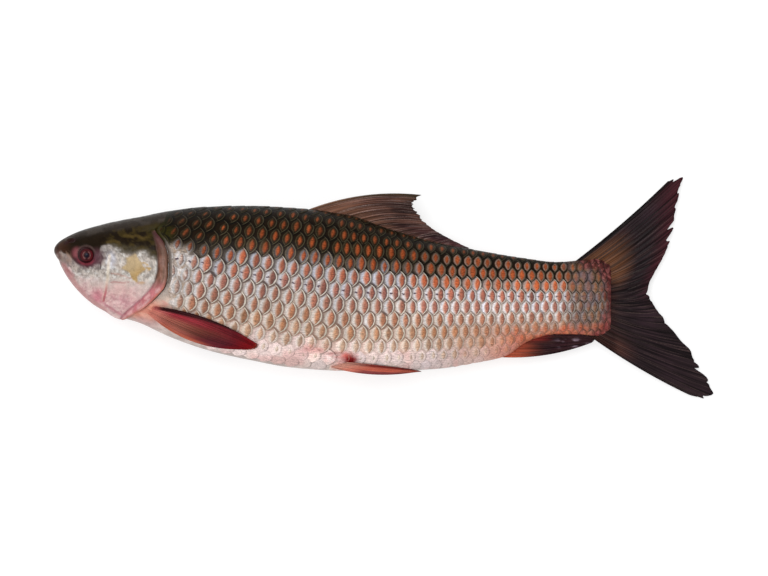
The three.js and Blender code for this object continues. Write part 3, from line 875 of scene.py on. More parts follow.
def dark_head_top(c, x, y, share):
    """Olive black above the cheek, brown on the snout and grey gloss along the top."""
    coarse = 2.6 * (cloud(x, y, 5, 11) - 0.5)
    ragged = coarse + (1.6 + 3 * ramp(34, 46, x)) * (cloud(x, y, 1.8, 12) - 0.5)
    wave = 1.2 * (cloud(x, y, 2, 77) - 0.5)
    height = y - dark_border_at(x) + ragged
    soft = 0.9 + 2.4 * ramp(33, 48, x)
    dark = ramp(-soft, soft, height)
    fringe = ramp(-4.5, 0, height) * ramp(34, 50, x)
    olive = patches(x * 0.7, y, 3, 71, 0.48, 0.62) * ramp(30, 44, x)
    above = ramp(-1.2, 1.6, y - gloss_border_at(x) + 0.4 * ragged)
    tan = patches(x, y, 2.4, 75, 0.48, 0.6) * blob(x, y, 8.6, 27, 3.4, 3.6, 0.6)
    return lay(c, x, y, [
        ("6e6458", 0.6 * fringe),
        ("1a1107", dark),
        ("443c2a", dark * ramp(6, 1, height) * ramp(34, 44, x) * 0.8),
        ("3e3214", dark * olive * 0.6),
        *[("524220", dark * 0.6 * line_mask(x, y + wave, streak, 1.4)) for streak in TAN_STREAKS],
        ("3a2216", dark * ramp(15, 5, x) * 0.85),
        ("2c241e", above * 0.85),
        ("443c36", above * 0.5 * patches(x * 0.4, y, 2.5, 73, 0.45, 0.65)),
        ("2c2808", 0.7 * dark, blob, 72, 43.5, 6, 5.5, 0.6),
        ("3e3834", 0.6 * ramp(0.1, 0.0, share)),
        ("2a1013", 0.75, line_mask, [(8, 36.4), (12, 38.4), (14.4, 38.6)], 1.6),
        ("1e120c", 0.6, line_mask, [(2.2, 36), (3, 30), (4.4, 26)], 1.0),
        ("927666", 0.5 * tan),
        ("5e3e38", 0.8, blob, 3.4, 28, 2.2, 3.2, 0.7),
    ])


def around_eye(c, x, y):
    """Mauve, red and dark rings around the eye."""
    from_eye = np.hypot(x - EYE[0], y - EYE[1]) + 0.5 * (cloud(x, y, 2, 83) - 0.5)
    return lay(c, x, y, [
        ("84484e", 0.85, blob, 16.2, 29.8, 3.2, 3.4, 0.7),
        ("54343c", 0.85, blob, 29.8, 26.4, 4.2, 5.4, 0.7),
        ("4e2c34", 0.8 * ramp(10.5, 7.5, from_eye) * ramp(29, 24, y)),
        ("3c2a28", 0.8 * ramp(7.2, 5.6, from_eye) * ramp(26, 31, y)),
        ("702a34", 0.8 * ramp(7.6, 6.2, from_eye) * ramp(27.5, 23, y)),
        ("5c4a46", 0.35 * ramp(0.9, 0.3, np.abs(from_eye - 6.4)) * ramp(28, 31, y)),
        ("261012", 0.85 * ramp(5.8, 5.0, from_eye)),
    ])


def gill_membrane(c, x, y, share):
    """The brown and red band along the free edge of the gill cover, with painted shadow in the upper
    part of the crease before it.
    """
    corners = COVER_CREASE + [(90, 46), (90, -18), (44, -18)]
    band = polygon_mask(x, y, corners, 0.5) * ramp(0.17, 0.21, share)
    to_edge = gill_edge_at(share) - x
    upper = ramp(4, 14, y)
    streak = ramp(1.5, 0.5, np.abs(to_edge - 2.6))
    lengthwise = cloud(to_edge * 1.6, y * 0.3, 2.4, 95)
    crease = line_mask(x, y, COVER_CREASE, 1.2) * ramp(0.17, 0.21, share)
    return lay(c, x, y, [
        ("ae6a6e", band),
        ("cca4a2", band * 0.6, patches, 4, 93, 0.35, 0.6),
        ("785244", band * upper),
        ("846c60", band * upper * streak * 0.5),
        ("96766e", band * ramp(0.5, 0.64, lengthwise) * 0.45),
        ("4c342c", band * ramp(0.46, 0.34, lengthwise) * upper * 0.5),
        ("3c2a20", band * ramp(18, 30, y) * 0.4),
        ("a85838", band * ramp(2.2, 0.6, to_edge) * (1 - upper) * 0.5),
        ("4a3426", band * ramp(1.2, 0.3, to_edge) * upper * 0.7),
        ("46242c", band * ramp(30, 40, y) * 0.75),
        # painted shadow in the crease's upper part; lower down the crease is pink
        ("3c2c24", 0.7 * crease * ramp(2, 12, y)),
        ("96505c", 0.6 * crease * ramp(12, 2, y)),
    ])


def trunk_colours(x, y, share):
    """Painted colours of the skin under and between the scales."""
    rows = row_at(x, share)
    behind = x - gill_edge_at(share)
    shoulder = ramp(10, 0, behind) * ramp(2.4, 1.2, rows)
    seam = ramp(2.6, 0.8, behind) * ramp(4, 14, y)
    above_fin = blob(x, y, 79, -5, 11, 5, 0.7)
    flesh = pectoral_root(x, y)
    colours = lay(TRUNK_BY_ROW(rows), x, y, [
        ("dacac4", 0.5 * patches(x, y * 1.4, 3.2, 95, 0.5, 0.64) * ramp(-4.6, -5.8, rows)),
        ("a39a92", 0.8 * shoulder),
        # painted shade in the groove just behind the gill cover's edge
        ("4a3a32", 0.85 * seam),
        ("1e1c0c", ramp(5, 2, behind) * ramp(33, 39, y)),
        ("343008", 0.8, blob, 74.5, 43.5, 5, 5.4, 0.6),
        # painted shadow line of a small crease behind the gill cover
        ("4a3424", 0.6, line_mask, [(76.2, 9.6), (80.6, 10.2)], 1.1),
        ("7a5c44", 0.6, line_mask, [(66.3, -4.8), (71, -3.8), (75.8, -1)], 0.9),
        ("b08482", 0.8, blob, 64, -13, 11, 8, 0.7),
        ("cab4a6", 0.85 * above_fin),
        ("c08078", 0.7 * above_fin, patches, 4, 127, 0.52, 0.62),
        ("c47c68", 0.9 * flesh),
        ("dcaa96", 0.7 * flesh, patches, 3, 97, 0.5, 0.62),
    ])
    return stains(colours, x, y, rows)


def body_skin(material):
    """Head with its folds, the groove behind the gill cover, and the trunk under the scales."""
    turn = np.arange(ROUND) / ROUND
    share = np.where(turn <= 0.5, turn * 2, 2 - turn * 2)
    side = np.where(turn <= 0.5, 1.0, -1.0)
    edge = gill_edge_at(share)
    rings = []
    tints = []
    for i in range(HEAD_RINGS):
        x = edge * ((i + 0.15) / (HEAD_RINGS - 0.85)) ** 1.25
        y = lookup(SKIN_PLACE, x, share)[..., 1]
        rings.append((x, head_relief(x, y, share)))
        tints.append(head_colours(x, y, share))
    cover = ramp(0.18, 0.28, share)
    for step, lift, dark in COVER_EDGE_RINGS:
        rings.append((edge + step * GILL_GAP, lift * cover))
        # painted shade under the cover's edge and in the groove behind it
        tints.append(paint(tints[HEAD_RINGS - 1], cover * dark, "3a2418"))
    for t in np.linspace(0, 1, TRUNK_RINGS):
        x = edge + GILL_GAP + (BODY_END - edge - GILL_GAP) * t
        y = lookup(SKIN_PLACE, x, share)[..., 1]
        rings.append((x, -TRUNK_DEPTH * ramp(0, 0.03, t)))
        tints.append(trunk_colours(x, y, share))
    rings.append((BODY_END + 1.0, -2.0))
    tints.append(tints[-1])
    points = np.stack([skin_point(x, share, lift, side) for x, lift in rings])
    snout = [[0.0, float(back_at(0)), float(mid_height_at(0))]]
    ends = np.concatenate([snout, points[-1].mean(axis=0, keepdims=True)])
    points, faces, uv = tube(points, ends, False)
    tint = np.concatenate([*tints, tints[0][:1], tints[-1][:1]])
    make_piece("body_skin", points, faces, uv, {"tint": tint}, material, "fish")


# --- scales

# points of a plate along and across, without the row of its skirt
ALONG = 8
ACROSS = 15

# colours from the belly, at row -8, to the back: of the scale's front, of the crescent before its
# spot, of the spot, of the free rim, and the dark of the painted shadow between scales, of the
# line inside the rim and of the spot's dark side
BASE_BY_ROW = colour_scale([
    (-8, "b0a098"), (-6.2, "c8b4ac"), (-5.2, "ead4d0"), (-4.5, "e8d0cc"), (-3.4, "c0a89c"),
    (-1.5, "a6968c"), (0, "988e8a"), (1, "86807e"), (1.5, "605854"), (2, "2e2418"),
    (2.6, "1a1006"), (9, "120a04"),
])
GLINT_BY_ROW = colour_scale([
    (-8, "d4c4be"), (-6.2, "dccac4"), (-5, "ecdcd4"), (-3, "c8baae"), (-1.2, "bebab8"),
    (0, "c0bec4"), (1.2, "aeaeb8"), (1.6, "a6a6ae"), (2, "686468"), (2.5, "42321e"),
    (3, "342414"), (9, "20160a"),
])
SPOT_BY_ROW = colour_scale([
    (-8, "dcc8c2"), (-5.6, "e8cec4"), (-4.7, "d8b8a8"), (-4, "c49a82"), (-2.5, "a86a46"),
    (-1, "a05e48"), (0, "9a5646"), (1.5, "a8522e"), (2.2, "984824"), (3, "8e4220"),
    (5, "743a1e"), (7, "54301c"), (9, "3c2418"),
])
RIM_BY_ROW = colour_scale([
    (-8, "ccbab4"), (-6.2, "d6c4be"), (-5, "ecdcd2"), (-3, "dacebc"), (0, "dcd2c6"),
    (1.4, "c6bcae"), (2.0, "8c8072"), (2.5, "5a503c"), (3.2, "46402e"), (9, "302c20"),
])
SHADE_BY_ROW = colour_scale([
    (-8, "c4aca2"), (-5.5, "b4988a"), (-4, "84624e"), (-1, "50382f"), (1.2, "342624"),
    (2.2, "0a0805"), (9, "060403"),
])
# row numbers, and the size of the spot there
SPOT_SIZE_BY_ROW = (
    [-6.5, -5.6, -5, -4.4, -4, -2.5, 1.2, 2, 3, 5, 7],
    [0, 0.08, 0.26, 0.62, 0.84, 1.02, 1.03, 0.84, 0.7, 0.6, 0.5],
)


def scale_places():
    """Row number and middle x of every scale on one flank."""
    places = [FIRST_SCALE_X]
    while places[-1] < SCALES_TO:
        places.append(places[-1] + float(pitch_at(places[-1])))
    while places[0] > SCALES_FROM:
        places.insert(0, places[0] - float(pitch_at(places[0])))
    places = np.array(places)
    found = []
    for row in range(-MOST_ROWS, MOST_ROWS + 1):
        shift = 0.5 if row % 2 else 0.0
        count = np.arange(len(places) - 1) + shift
        lateral_x = np.interp(count, np.arange(len(places)), places)
        distance = row * spacing_at(lateral_x)
        x = lateral_x + lean_at(lateral_x) * distance
        share = lateral_share_at(x) - distance / half_girth_at(x)
        margin = 0.3 * spacing_at(x) / half_girth_at(x)
        start = gill_edge_at(np.clip(share, 0, 1)) + 1
        reach = x + RIM_REACH * pitch_at(x)
        keep = (share > -margin) & (share < 1 + margin) & (reach > start + 2) & (reach < BODY_END)
        found.extend((row, float(middle)) for middle in x[keep])
    return np.array(found)


def lean_at(x):
    """How far a column of scales leans towards the tail, in mm for each mm towards the back."""
    return (lateral_height_at(x - 4) - lateral_height_at(x + 4)) / 8


def rim_reach(across):
    """Reach of a plate's free rim at a place across it."""
    return RIM_REACH - RIM_FALL * np.minimum(np.abs(across), RIM_WIDTH) ** RIM_POWER


def plate_grid():
    """Places on a plate: towards the tail in pitches and across the row in row spacings."""
    angle = np.linspace(-1, 1, ACROSS)
    across = RIM_WIDTH * angle
    rear = rim_reach(across)
    neighbour = rim_reach(np.abs(across) - 1) - 0.5
    shown = np.minimum(np.maximum(rear - 1, neighbour), rear)
    start = shown - 0.2
    along = start + (rear - start) * np.linspace(0, 1, ALONG)[:, None]
    return along, np.broadcast_to(across, along.shape)


PLATE_ALONG, PLATE_ACROSS = plate_grid()


def with_skirt(values):
    """Values over a plate, with its last row once more for the edge that turns down."""
    return np.concatenate([values, values[-1:]])


def pectoral_root(x, y):
    """1 on the bare flesh at the root of a pectoral fin."""
    return np.maximum(blob(x, y, 67, -9, 8, 6, 0.7), blob(x, y, 57, -10.5, 9, 3.6, 0.7))


def belly_fade(x, rows):
    """1 where scales show, falling towards the smooth skin of the throat and belly."""
    limit = -5.9 - 0.8 * ramp(190, 250, x) + 2.1 * ramp(118, 84, x)
    return ramp(limit - 0.5, limit + 0.7, rows)


def plate_shape(row, x0, draw):
    """x, share, height over the skin, fade and row number over a plate, or None on bare skin."""
    pitch = float(pitch_at(x0))
    x = x0 + (PLATE_ALONG + 0.03 * draw[0]) * pitch + lean_at(x0) * PLATE_ACROSS * spacing_at(x0)
    across_rows = row + PLATE_ACROSS * min(1 + 0.04 * draw[1], 1.05) + 0.03 * draw[2]
    distance = across_rows * spacing_at(x)
    share = lateral_share_at(x) - distance / half_girth_at(x)
    rows = distance / spacing_at(x)
    fade = belly_fade(x, rows)
    y = lookup(SKIN_PLACE, x, share)[..., 1]
    on_flesh = x0 < PECTORAL_ROOT_END and pectoral_root(x, y).max() > MOST_FLESH
    if on_flesh or fade[-1, ACROSS // 2] < LEAST_FADE:
        return None
    tilt = (PLATE_ALONG + RIM_REACH) / (2 * RIM_REACH)
    dome = 0.3 * (1 - (PLATE_ACROSS / RIM_WIDTH) ** 2) * np.sin(np.pi * np.clip(tilt, 0, 1))
    lift = SCALE_LIFT * pitch / LIFT_PITCH * (tilt * (1 + 0.12 * draw[3]) + dome)
    lift = lift * (0.25 + 0.75 * fade) * (1 - 0.65 * ramp(-3.6, -5.2, rows))
    behind = x - gill_edge_at(np.clip(share, 0, 1)) - GILL_GAP
    settling = 9 + 46 * ramp(0.34, 0.1, share)
    lift = lift * ramp(0, 1, behind / settling) - ramp(3, -1, behind)
    x, share, lift, fade, rows = (with_skirt(values) for values in (x, share, lift, fade, rows))
    x[-1] -= 0.1
    lift[-1] -= SCALE_EDGE * (0.3 + 0.7 * fade[-1])
    return x, share, lift, fade, rows


def plate_layers(row, x0, draw, x, y, share, fade, rows):
    """Colours of a scale and the shape of its spot, by the name of their attribute."""
    tone = 0.8 * row + 0.2 * rows + 0.14 * draw[4] + dark_reach_at(x0)
    light = 1 + (brightness_at(x) - 1) * ramp(2.4, 1.4, tone)
    light = light * (1 - 0.3 * ramp(200, 270, x) * ramp(-1.2, -3.2, rows))
    light = light * (1 - 0.2 * ramp(180, 220, x) * ramp(-4.2, -5, rows))
    bright = (1 + 0.05 * draw[5]) * light[..., None]
    warm = np.array([1 + 0.02 * draw[6], 1, 1 - 0.03 * draw[6], 1])
    worn = shoulder_mask(x, share)
    folds = worn * patches(x * 1.6, y * 0.8, 3, 119, 0.54, 0.62)
    hugged = ramp(225, 280, x) * ramp(1.1, 1.7, tone) * ramp(5, 3.4, tone)
    nape = ramp(124, 84, x) * ramp(1.6, 2.4, tone)
    dim = nape * (0.5 + 0.3 * ramp(3, 4.6, tone)) + 0.45 * ramp(0.12, 0.02, share)
    tail_root = ramp(346, 362, x)
    olive = 0.9 * blob(x, y, 76, 43, 6.4, 6.6, 0.6)
    glow = (1 + 0.14 * hugged + 0.14 * draw[7]) * (0.4 + 0.6 * light)
    less_red = 1 - 0.1 * ramp(1.9, 1.2, tone)[..., None] * np.array([1, 0, 0, 0])
    base = lay(BASE_BY_ROW(tone) * warm * bright, x, y, [
        ("c0b0a4", 0.75 * worn),
        ("98806a", 0.75 * worn * patches(x * 1.8, y * 0.8, 5, 103, 0.48, 0.6)),
        ("6c5e56", 0.6 * worn * patches(x * 2.4, y * 0.7, 4, 117, 0.55, 0.64)),
        ("dcd8d8", 0.7 * folds),
        ("2a2606", olive),
    ])
    glint = lay(GLINT_BY_ROW(tone) * warm * bright, x, y, [
        ("aaa8a8", 0.9 * worn),
        ("96786a", 0.8 * hugged),
        ("2a2606", olive),
    ])
    spot = lay(SPOT_BY_ROW(tone) * glow[..., None] * less_red, x, y, [
        ("a68e82", 0.8 * worn),
        ("d8d0cc", 0.6 * folds),
        ("3e2a1c", np.minimum(dim, 0.85)),
        ("8a6448", 0.5 * tail_root),
        ("2e2008", 0.8 * olive),
    ])
    rim = lay(RIM_BY_ROW(tone) * bright, x, y, [
        ("b0a69e", 0.65 * worn),
        ("80706a", 0.5 * tail_root),
        ("2a241a", 0.6 * nape),
        ("2e2a0e", olive),
    ])
    size = (spot_size(x, tone, share) + 0.05 * hugged) * (1 + 0.08 * draw[2])
    bulge = SPOT_FRONT + (SPOT_FRONT_BY_TAIL - SPOT_FRONT) * ramp(225, 290, x)
    line = fade * (1 - worn * (0.6 + 0.35 * patches(x, y, 3.4, 104, 0.4, 0.55)))
    line = line * (1 - 0.95 * ramp(-3.2, -4.9, rows))
    hind = ramp(235, 285, x) * ramp(360, 346, x)
    line = line * (1 - 0.4 * hind * ramp(1.6, 0.8, tone))
    lean = 0.5 * ramp(135, 84, x) * ramp(0.5, 2.5, rows)
    ring = 0.5 * ramp(1.7, 2.4, tone) * (1 - hugged)
    pore = np.full(x.shape, 1.0 if row == 0 and draw[0] < 1 else 0.0)

    def skin_over(colours, blushing, staining=1.0):
        return stains(blush(colours, x, y, rows, blushing), x, y, rows, staining)

    return {
        "base": skin_over(base, 1.0),
        "glint": skin_over(glint, 0.95),
        "spot": skin_over(spot, 0.75),
        "rim": skin_over(rim, 0.7, 0.7),
        # dark for the painted shadow between scales, the line inside the rim and the spot's dark side,
        # browner at the root of the tail
        "shade": paint(SHADE_BY_ROW(tone), 0.75 * tail_root, "22160f"),
        "plate": np.stack([with_skirt(PLATE_ALONG), with_skirt(PLATE_ACROSS), pore], axis=-1),
        "spot_shape": np.stack([size, bulge, line], axis=-1),
        "spot_edge": np.stack([lean, ring, hugged], axis=-1),
    }


def scales(name, side, material):
    """All the scales of one flank as overlapping plates that follow the skin."""
    rng = np.random.default_rng(7 if side > 0 else 8)
    places = scale_places()
    grid_side = math.ceil(math.sqrt(len(places)))
    points, faces, uvs = [], [], []
    layers = {}
    quads, u_index, v_index = grid_faces(ALONG + 1, ACROSS, False)
    for index, (row, x0) in enumerate(places):
        draw = rng.standard_normal(8)
        shape = plate_shape(row, x0, draw)
        if not shape:
            continue
        x, share, lift, fade, rows = shape
        place = skin_point(x, share, lift, side)
        faces.append(quads + len(points) * (ALONG + 1) * ACROSS)
        points.append(place.reshape(-1, 3))
        u = (index % grid_side + 0.04 + 0.92 * u_index / ALONG) / grid_side
        v = (index // grid_side + 0.04 + 0.92 * v_index / (ACROSS - 1)) / grid_side
        uvs.append(np.stack([u, v], axis=-1))
        made = plate_layers(row, x0, draw, x, place[..., 1], share, fade, rows)
        for key, values in made.items():
            layers.setdefault(key, []).append(values.reshape(-1, values.shape[-1]))
    order = slice(None, None, -1) if side > 0 else slice(None)
    layers = {key: np.concatenate(values) for key, values in layers.items()}
    faces = np.concatenate(faces)[:, order].tolist()
    uv = np.concatenate(uvs)[:, order].reshape(-1, 2)
    make_piece(name, np.concatenate(points), faces, uv, layers, material, None)


def shoulder_mask(x, share):
    """The pale, worn patch of scales behind the gill cover."""
    behind = x - gill_edge_at(np.clip(share, 0, 1))
    return ramp(24, 8, behind) * ramp(1.25, 0.5, row_at(x, share))


def blush(colours, x, y, rows, strength=1.0):
    """Pink skin of the belly, and brown and violet scales at the root of the tail."""
    pink = patches(x, y, 14, 101, 0.48, 0.68) * ramp(-3.4, -5, rows)
    warm = ramp(250, 300, x) * ramp(-1.5, -3, rows)
    brown = ramp(344, 362, x + 6 * (cloud(x, y, 5, 109) - 0.5))
    violet = patches(x, y, 5, 111, 0.42, 0.6)
    gold = patches(x, y, 4, 125, 0.52, 0.62)
    return lay(colours, x, y, [
        ("cc8e88", 0.4 * strength * pink),
        ("b8826a", 0.5 * strength * warm),
        ("54402e", 0.65 * strength * brown),
        ("866650", 0.5 * strength * brown * gold),
        ("6e6270", 0.45 * strength * brown * violet),
    ])


def stains(colours, x, y, rows, strength=1.0):
    """Orange skin before the tail, the maroon fringe at its root and a sore by the pelvic fin."""
    drift = cloud(x, y, 5, 105) - 0.5
    orange = ramp(288, 326, x) * ramp(-2.6, -3.8, rows + 2.4 * drift)
    orange = orange * (1 - 0.35 * ramp(346, 364, x))
    corner = np.maximum(np.abs(y + 2) - 8, 0)
    fringe = ramp(-4, 3, x - 376.6 + 0.034 * corner**2 + 6 * drift)
    fringe = np.maximum(fringe, 0.85 * ramp(355, 364, x + 8 * drift) * ramp(17.5, 20.5, y))
    bright = patches(x, y, 2.2, 115, 0.5, 0.62) * (1 - 0.6 * ramp(13, 5, np.abs(y + 2)))
    halo = blob(x, y, 197, -41, 10, 3.6, 0.7) + 0.7 * blob(x, y, 178, -35, 9, 3, 0.7)
    flap = blob(x, y, 191, -42.2, 9, 3.6, 0.6) * patches(x, y, 3, 121, 0.4, 0.55)
    wander = 3 * (cloud(x, y, 3, 123) - 0.5)
    raw = blob(x + wander, y, 199.5, -40.4, 5, 2.6, 0.8)
    sore = blob(x + wander, y, 202.4, -43.2, 4.2, 2.8, 0.8)
    return lay(colours, x, y, [
        ("c0583a", 0.8 * strength * orange),
        ("d08a68", 0.5 * strength * orange, patches, 3, 107, 0.5, 0.64),
        ("501a1a", 0.9 * strength * fringe),
        ("2e1414", 0.35 * fringe * ramp(8, 18, y)),
        ("8e4644", 0.5 * strength * fringe * ramp(-12, -21, y)),
        ("a2605c", 0.6 * strength * fringe * bright),
        ("cc6c6c", 0.6 * strength * halo, patches, 3, 113, 0.4, 0.6),
        ("ecd8d4", 0.7 * strength * flap),
        ("b8483a", 0.85 * raw),
        ("7c1014", 1.2 * sore + 0.6 * blob(x, y, 191, -38.6, 4, 1.0, 0.8)),
    ])


def spot_size(x, rows, share):
    """Size of a scale's spot, as a share of the largest."""
    by_row = np.interp(rows, *SPOT_SIZE_BY_ROW)
    shoulder = shoulder_mask(x, share)
    near_back = 1 - 0.25 * ramp(0.2, 0.06, share)
    nape = ramp(170, 90, x) * ramp(1.2, 2.4, rows)
    return by_row * near_back * (1 - 0.2 * shoulder) * (1 - 0.24 * nape)


# --- fins

FIN_ALONG = 40
RAY_SAMPLES = 8
# size of the pattern of streaks across and along the rays, and its shift from fin to fin
STREAKS = (6.5, 0.9, 7.3)
# least space between a fin and the table
FIN_CLEARANCE = 0.25


def catmull_rom(points, t):
    """Points of a smooth curve at shares of its corners."""
    p = np.array(points, float)
    p = np.concatenate([2 * p[:1] - p[1:2], p, 2 * p[-1:] - p[-2:-1]])
    q = np.clip(t, 0, 1) * (len(points) - 1)
    i = np.clip(np.floor(q).astype(int), 0, len(points) - 2)
    s = (q - i)[:, None]
    a, b, c, d = p[i], p[i + 1], p[i + 2], p[i + 3]
    curved = (2 * a - 5 * b + 4 * c - d) * s**2 + (3 * b - a - 3 * c + d) * s**3
    return 0.5 * (2 * b + (c - a) * s + curved)


def fin_piece(name, fin, height_at, colours_at, material, seed):
    """A fin as a thin closed sheet with raised, branching rays and a ragged edge."""
    rng = np.random.default_rng(seed)
    columns = (fin["rays"] - 1) * RAY_SAMPLES + 1
    u = np.linspace(0, 1, columns)
    ray = u * (fin["rays"] - 1)
    root = catmull_rom(fin["root"], u)
    tip = catmull_rom(fin["edge"], u)
    reach = 1 - fin["notch"] * np.sin(np.pi * ray) ** 2
    rough = value_noise(ray * 2.3, ray * 0, 1.0, seed)
    teeth = ramp(0.6, 0.8, value_noise(ray * 6.1, ray * 0, 1.0, seed + 1))
    reach -= fin["ragged"] * (rough + teeth - 1)
    for place, width, depth in fin["tears"]:
        reach -= depth * np.exp(-(((u - place) / width) ** 2))
    vector = tip - root
    sideways = np.stack([-vector[:, 1], vector[:, 0]], axis=-1)
    sideways /= np.linalg.norm(sideways, axis=-1, keepdims=True)
    bow = fin["bow"][0] + (fin["bow"][1] - fin["bow"][0]) * u
    along = np.linspace(0, 1, FIN_ALONG)[:, None] * reach
    bend = 4 * bow * along * (1 - along)
    middle = root + vector * along[..., None] + sideways * bend[..., None]
    single, double, quad = (np.cos(branches * np.pi * ray) ** 2 for branches in (1, 2, 4))
    split = ramp(0.35, 0.55, along)
    split_again = ramp(0.65, 0.8, along)
    ridge = single * (1 - split) + double * split * (1 - split_again) + quad * split_again
    joint = 0.06 * np.sin(along * 150 + rng.random(columns) * 0.4) * ramp(0.3, 0.5, along)
    thick = fin["thick"] + (fin["thin"] - fin["thick"]) * along
    half = thick / 2 * (0.45 + 0.5 * ridge + joint * ridge)
    x, y = middle[..., 0], middle[..., 1]
    height = np.maximum(height_at(x, y, along), half + FIN_CLEARANCE)
    top = np.stack([x, y, height + half], axis=-1)
    bottom = np.stack([x, y, height - half], axis=-1)
    sheet = np.concatenate([top, bottom[:, ::-1]], axis=1)
    corners, uv = wrapped_grid(FIN_ALONG, 2 * columns)
    first = np.arange(columns - 1)
    last = (FIN_ALONG - 1) * 2 * columns
    mirror = 2 * columns - 1 - first
    root_cap = np.stack([mirror, mirror - 1, first + 1, first], axis=-1)
    edge_cap = np.stack([first, first + 1, mirror - 1, mirror], axis=-1) + last
    faces = np.concatenate([corners, root_cap, edge_cap])
    uv = np.concatenate([uv, np.full((2 * (columns - 1), 4, 2), CAP_UV)])
    tops_face_up = np.linalg.det([root[-1] - root[0], vector[columns // 2]]) > 0
    order = slice(None) if tops_face_up else slice(None, None, -1)
    u, ray = (np.broadcast_to(values, along.shape) for values in (u, ray))
    over_rays = np.stack([ray, along, np.full(along.shape, seed)], axis=-1) * STREAKS
    tint = colours_at(x, y, u, along, ridge)
    layers = {
        key: np.concatenate([values, values[:, ::-1]], axis=1).reshape(-1, values.shape[-1])
        for key, values in (("tint", tint), ("rays", over_rays))
    }
    layers["sheen"] = np.tile(linear(fin["sheen"]), (sheet[..., 0].size, 1))
    faces, uv = faces[:, order].tolist(), uv[:, order]
    make_piece(name, sheet.reshape(-1, 3), faces, uv, layers, material, None)


def caudal_colours(x, y, u, along, ridge):
    """Dark violet brown with a golden root above, painted shade where it meets the body and a maroon
    trailing edge.
    """
    golden = ramp(0.48, 0.34, u) * ramp(0.5, 0.08, along) * ramp(0.02, 0.1, u)
    return lay(linear("201619"), x, y, [
        ("2a1c22", 0.5, patches, 14, 201, 0.45, 0.75),
        ("74492c", 0.9 * golden),
        ("3e141c", 0.65 * ramp(0.6, 0.99, along) * ramp(0.62, 0.35, u)),
        ("7a4a3c", 0.7 * ramp(0.7, 0.88, u) * ramp(0.45, 0.05, along)),
        ("3e1814", 0.8 * ramp(0.08, 0.0, along)),
        # painted shade where the fin's root meets the body
        ("240e0e", 0.85 * ramp(387, 381, x) * ramp(0.3, 0.46, u)),
        ("382a24", 0.4 * ridge * ramp(0.5, 0.1, along)),
        ("0e0a0a", 0.8 * ramp(0.05, 0.0, u)),
        ("140e10", 0.45 * (1 - ridge) * ramp(0.95, 0.5, along)),
    ])


def dorsal_colours(x, y, u, along, ridge):
    """Brown with dark webs, lighter in front."""
    return lay(linear("3a2420"), x, y, [
        ("70493a", 0.8 * ramp(0.45, 0.0, u) * ramp(0.95, 0.4, along)),
        ("1c1212", 0.85 * (1 - ridge)),
        ("664438", 0.5 * patches(x * 0.3, y * 1.6, 6, 211, 0.45, 0.65)),
        ("301a24", 0.6 * ramp(0.5, 0.8, u) * ramp(0.2, 0.6, along)),
        ("34291c", 0.8 * ramp(0.8, 1.0, along) * ramp(0.16, 0.0, u)),
        ("423420", 0.75 * ramp(0.06, 0.0, u)),
        ("7a5440", 0.5 * ramp(0.5, 0.15, along) * ramp(0.8, 0.4, u)),
    ])


def anal_colours(x, y, u, along, ridge):
    """Orange red in front, then black with a wet gloss."""
    red = ramp(0.62, 0.0, along + 0.5 * u) * ramp(345, 318, x)
    upper = ramp(0.4, 0.7, u) * ramp(0.8, 0.4, along) * ramp(343, 328, x)
    gloss = patches(x, y * 1.5, 4, 221, 0.5, 0.62) * blob(x, y, 354, -32, 11, 3.4, 0.6)
    return lay(linear("1e0e12"), x, y, [
        ("b4543a", 0.9 * red),
        ("8e3028", 0.9 * upper),
        ("3c1c22", 0.5 * ridge * ramp(0.2, 0.7, along)),
        ("84707c", 0.75 * gloss),
    ])


def pelvic_colours(x, y, u, along, ridge):
    """Salmon with a dark edge."""
    lower = ramp(0.46, 0.26, u) * ramp(0.15, 0.4, along) * ramp(0.98, 0.8, along)
    return lay(linear("d6705a"), x, y, [
        ("6a1614", 0.95 * ramp(0.62, 0.82, u)),
        ("5e2c38", 0.85 * lower),
        ("8c3a30", 0.25 * (1 - ridge)),
        ("bc8c7c", 0.85 * ramp(0.4, 0.0, along)),
        ("86382e", 0.5 * ramp(0.7, 1.0, along)),
    ])


def pectoral_colours(x, y, u, along, ridge):
    """Maroon with a pale brown root, and a black band along the leading edge that is partly the dark
    leading ray and partly painted shadow.
    """
    # band: black along the leading edge, partly the dark leading ray and partly painted shadow
    band = ramp(0.33, 0.22, u + 0.3 * along) * ramp(0.92, 0.7, along) * ramp(0.03, 0.1, along)
    return lay(linear("661820"), x, y, [
        ("380a10", 0.45 * (1 - ridge)),
        ("9a5c4c", 0.75 * blob(along, u, 0.28, 0.66, 0.2, 0.3, 0.7)),
        ("5a3024", 0.7 * blob(along, u, 0.54, 0.58, 0.2, 0.26, 0.7)),
        ("8c2832", 0.8 * ramp(0.56, 0.28, u) * ramp(0.8, 0.3, along)),
        ("4c1220", 0.7 * blob(along, u, 0.74, 0.78, 0.18, 0.3, 0.6)),
        ("a8563e", 0.8 * ramp(0.84, 0.98, u) * ramp(0.8, 0.5, along)),
        ("c07a6c", 0.9 * ramp(0.22, 0.04, along)),
        ("aa4450", 0.5 * ramp(0.26, 0.08, along) * ramp(0.5, 0.2, u)),
        ("740810", 0.95 * ramp(0.78, 0.94, along)),
        ("a83a1c", 0.6 * ramp(0.96, 1.0, along)),
        ("1c0406", 0.95 * band),
    ])


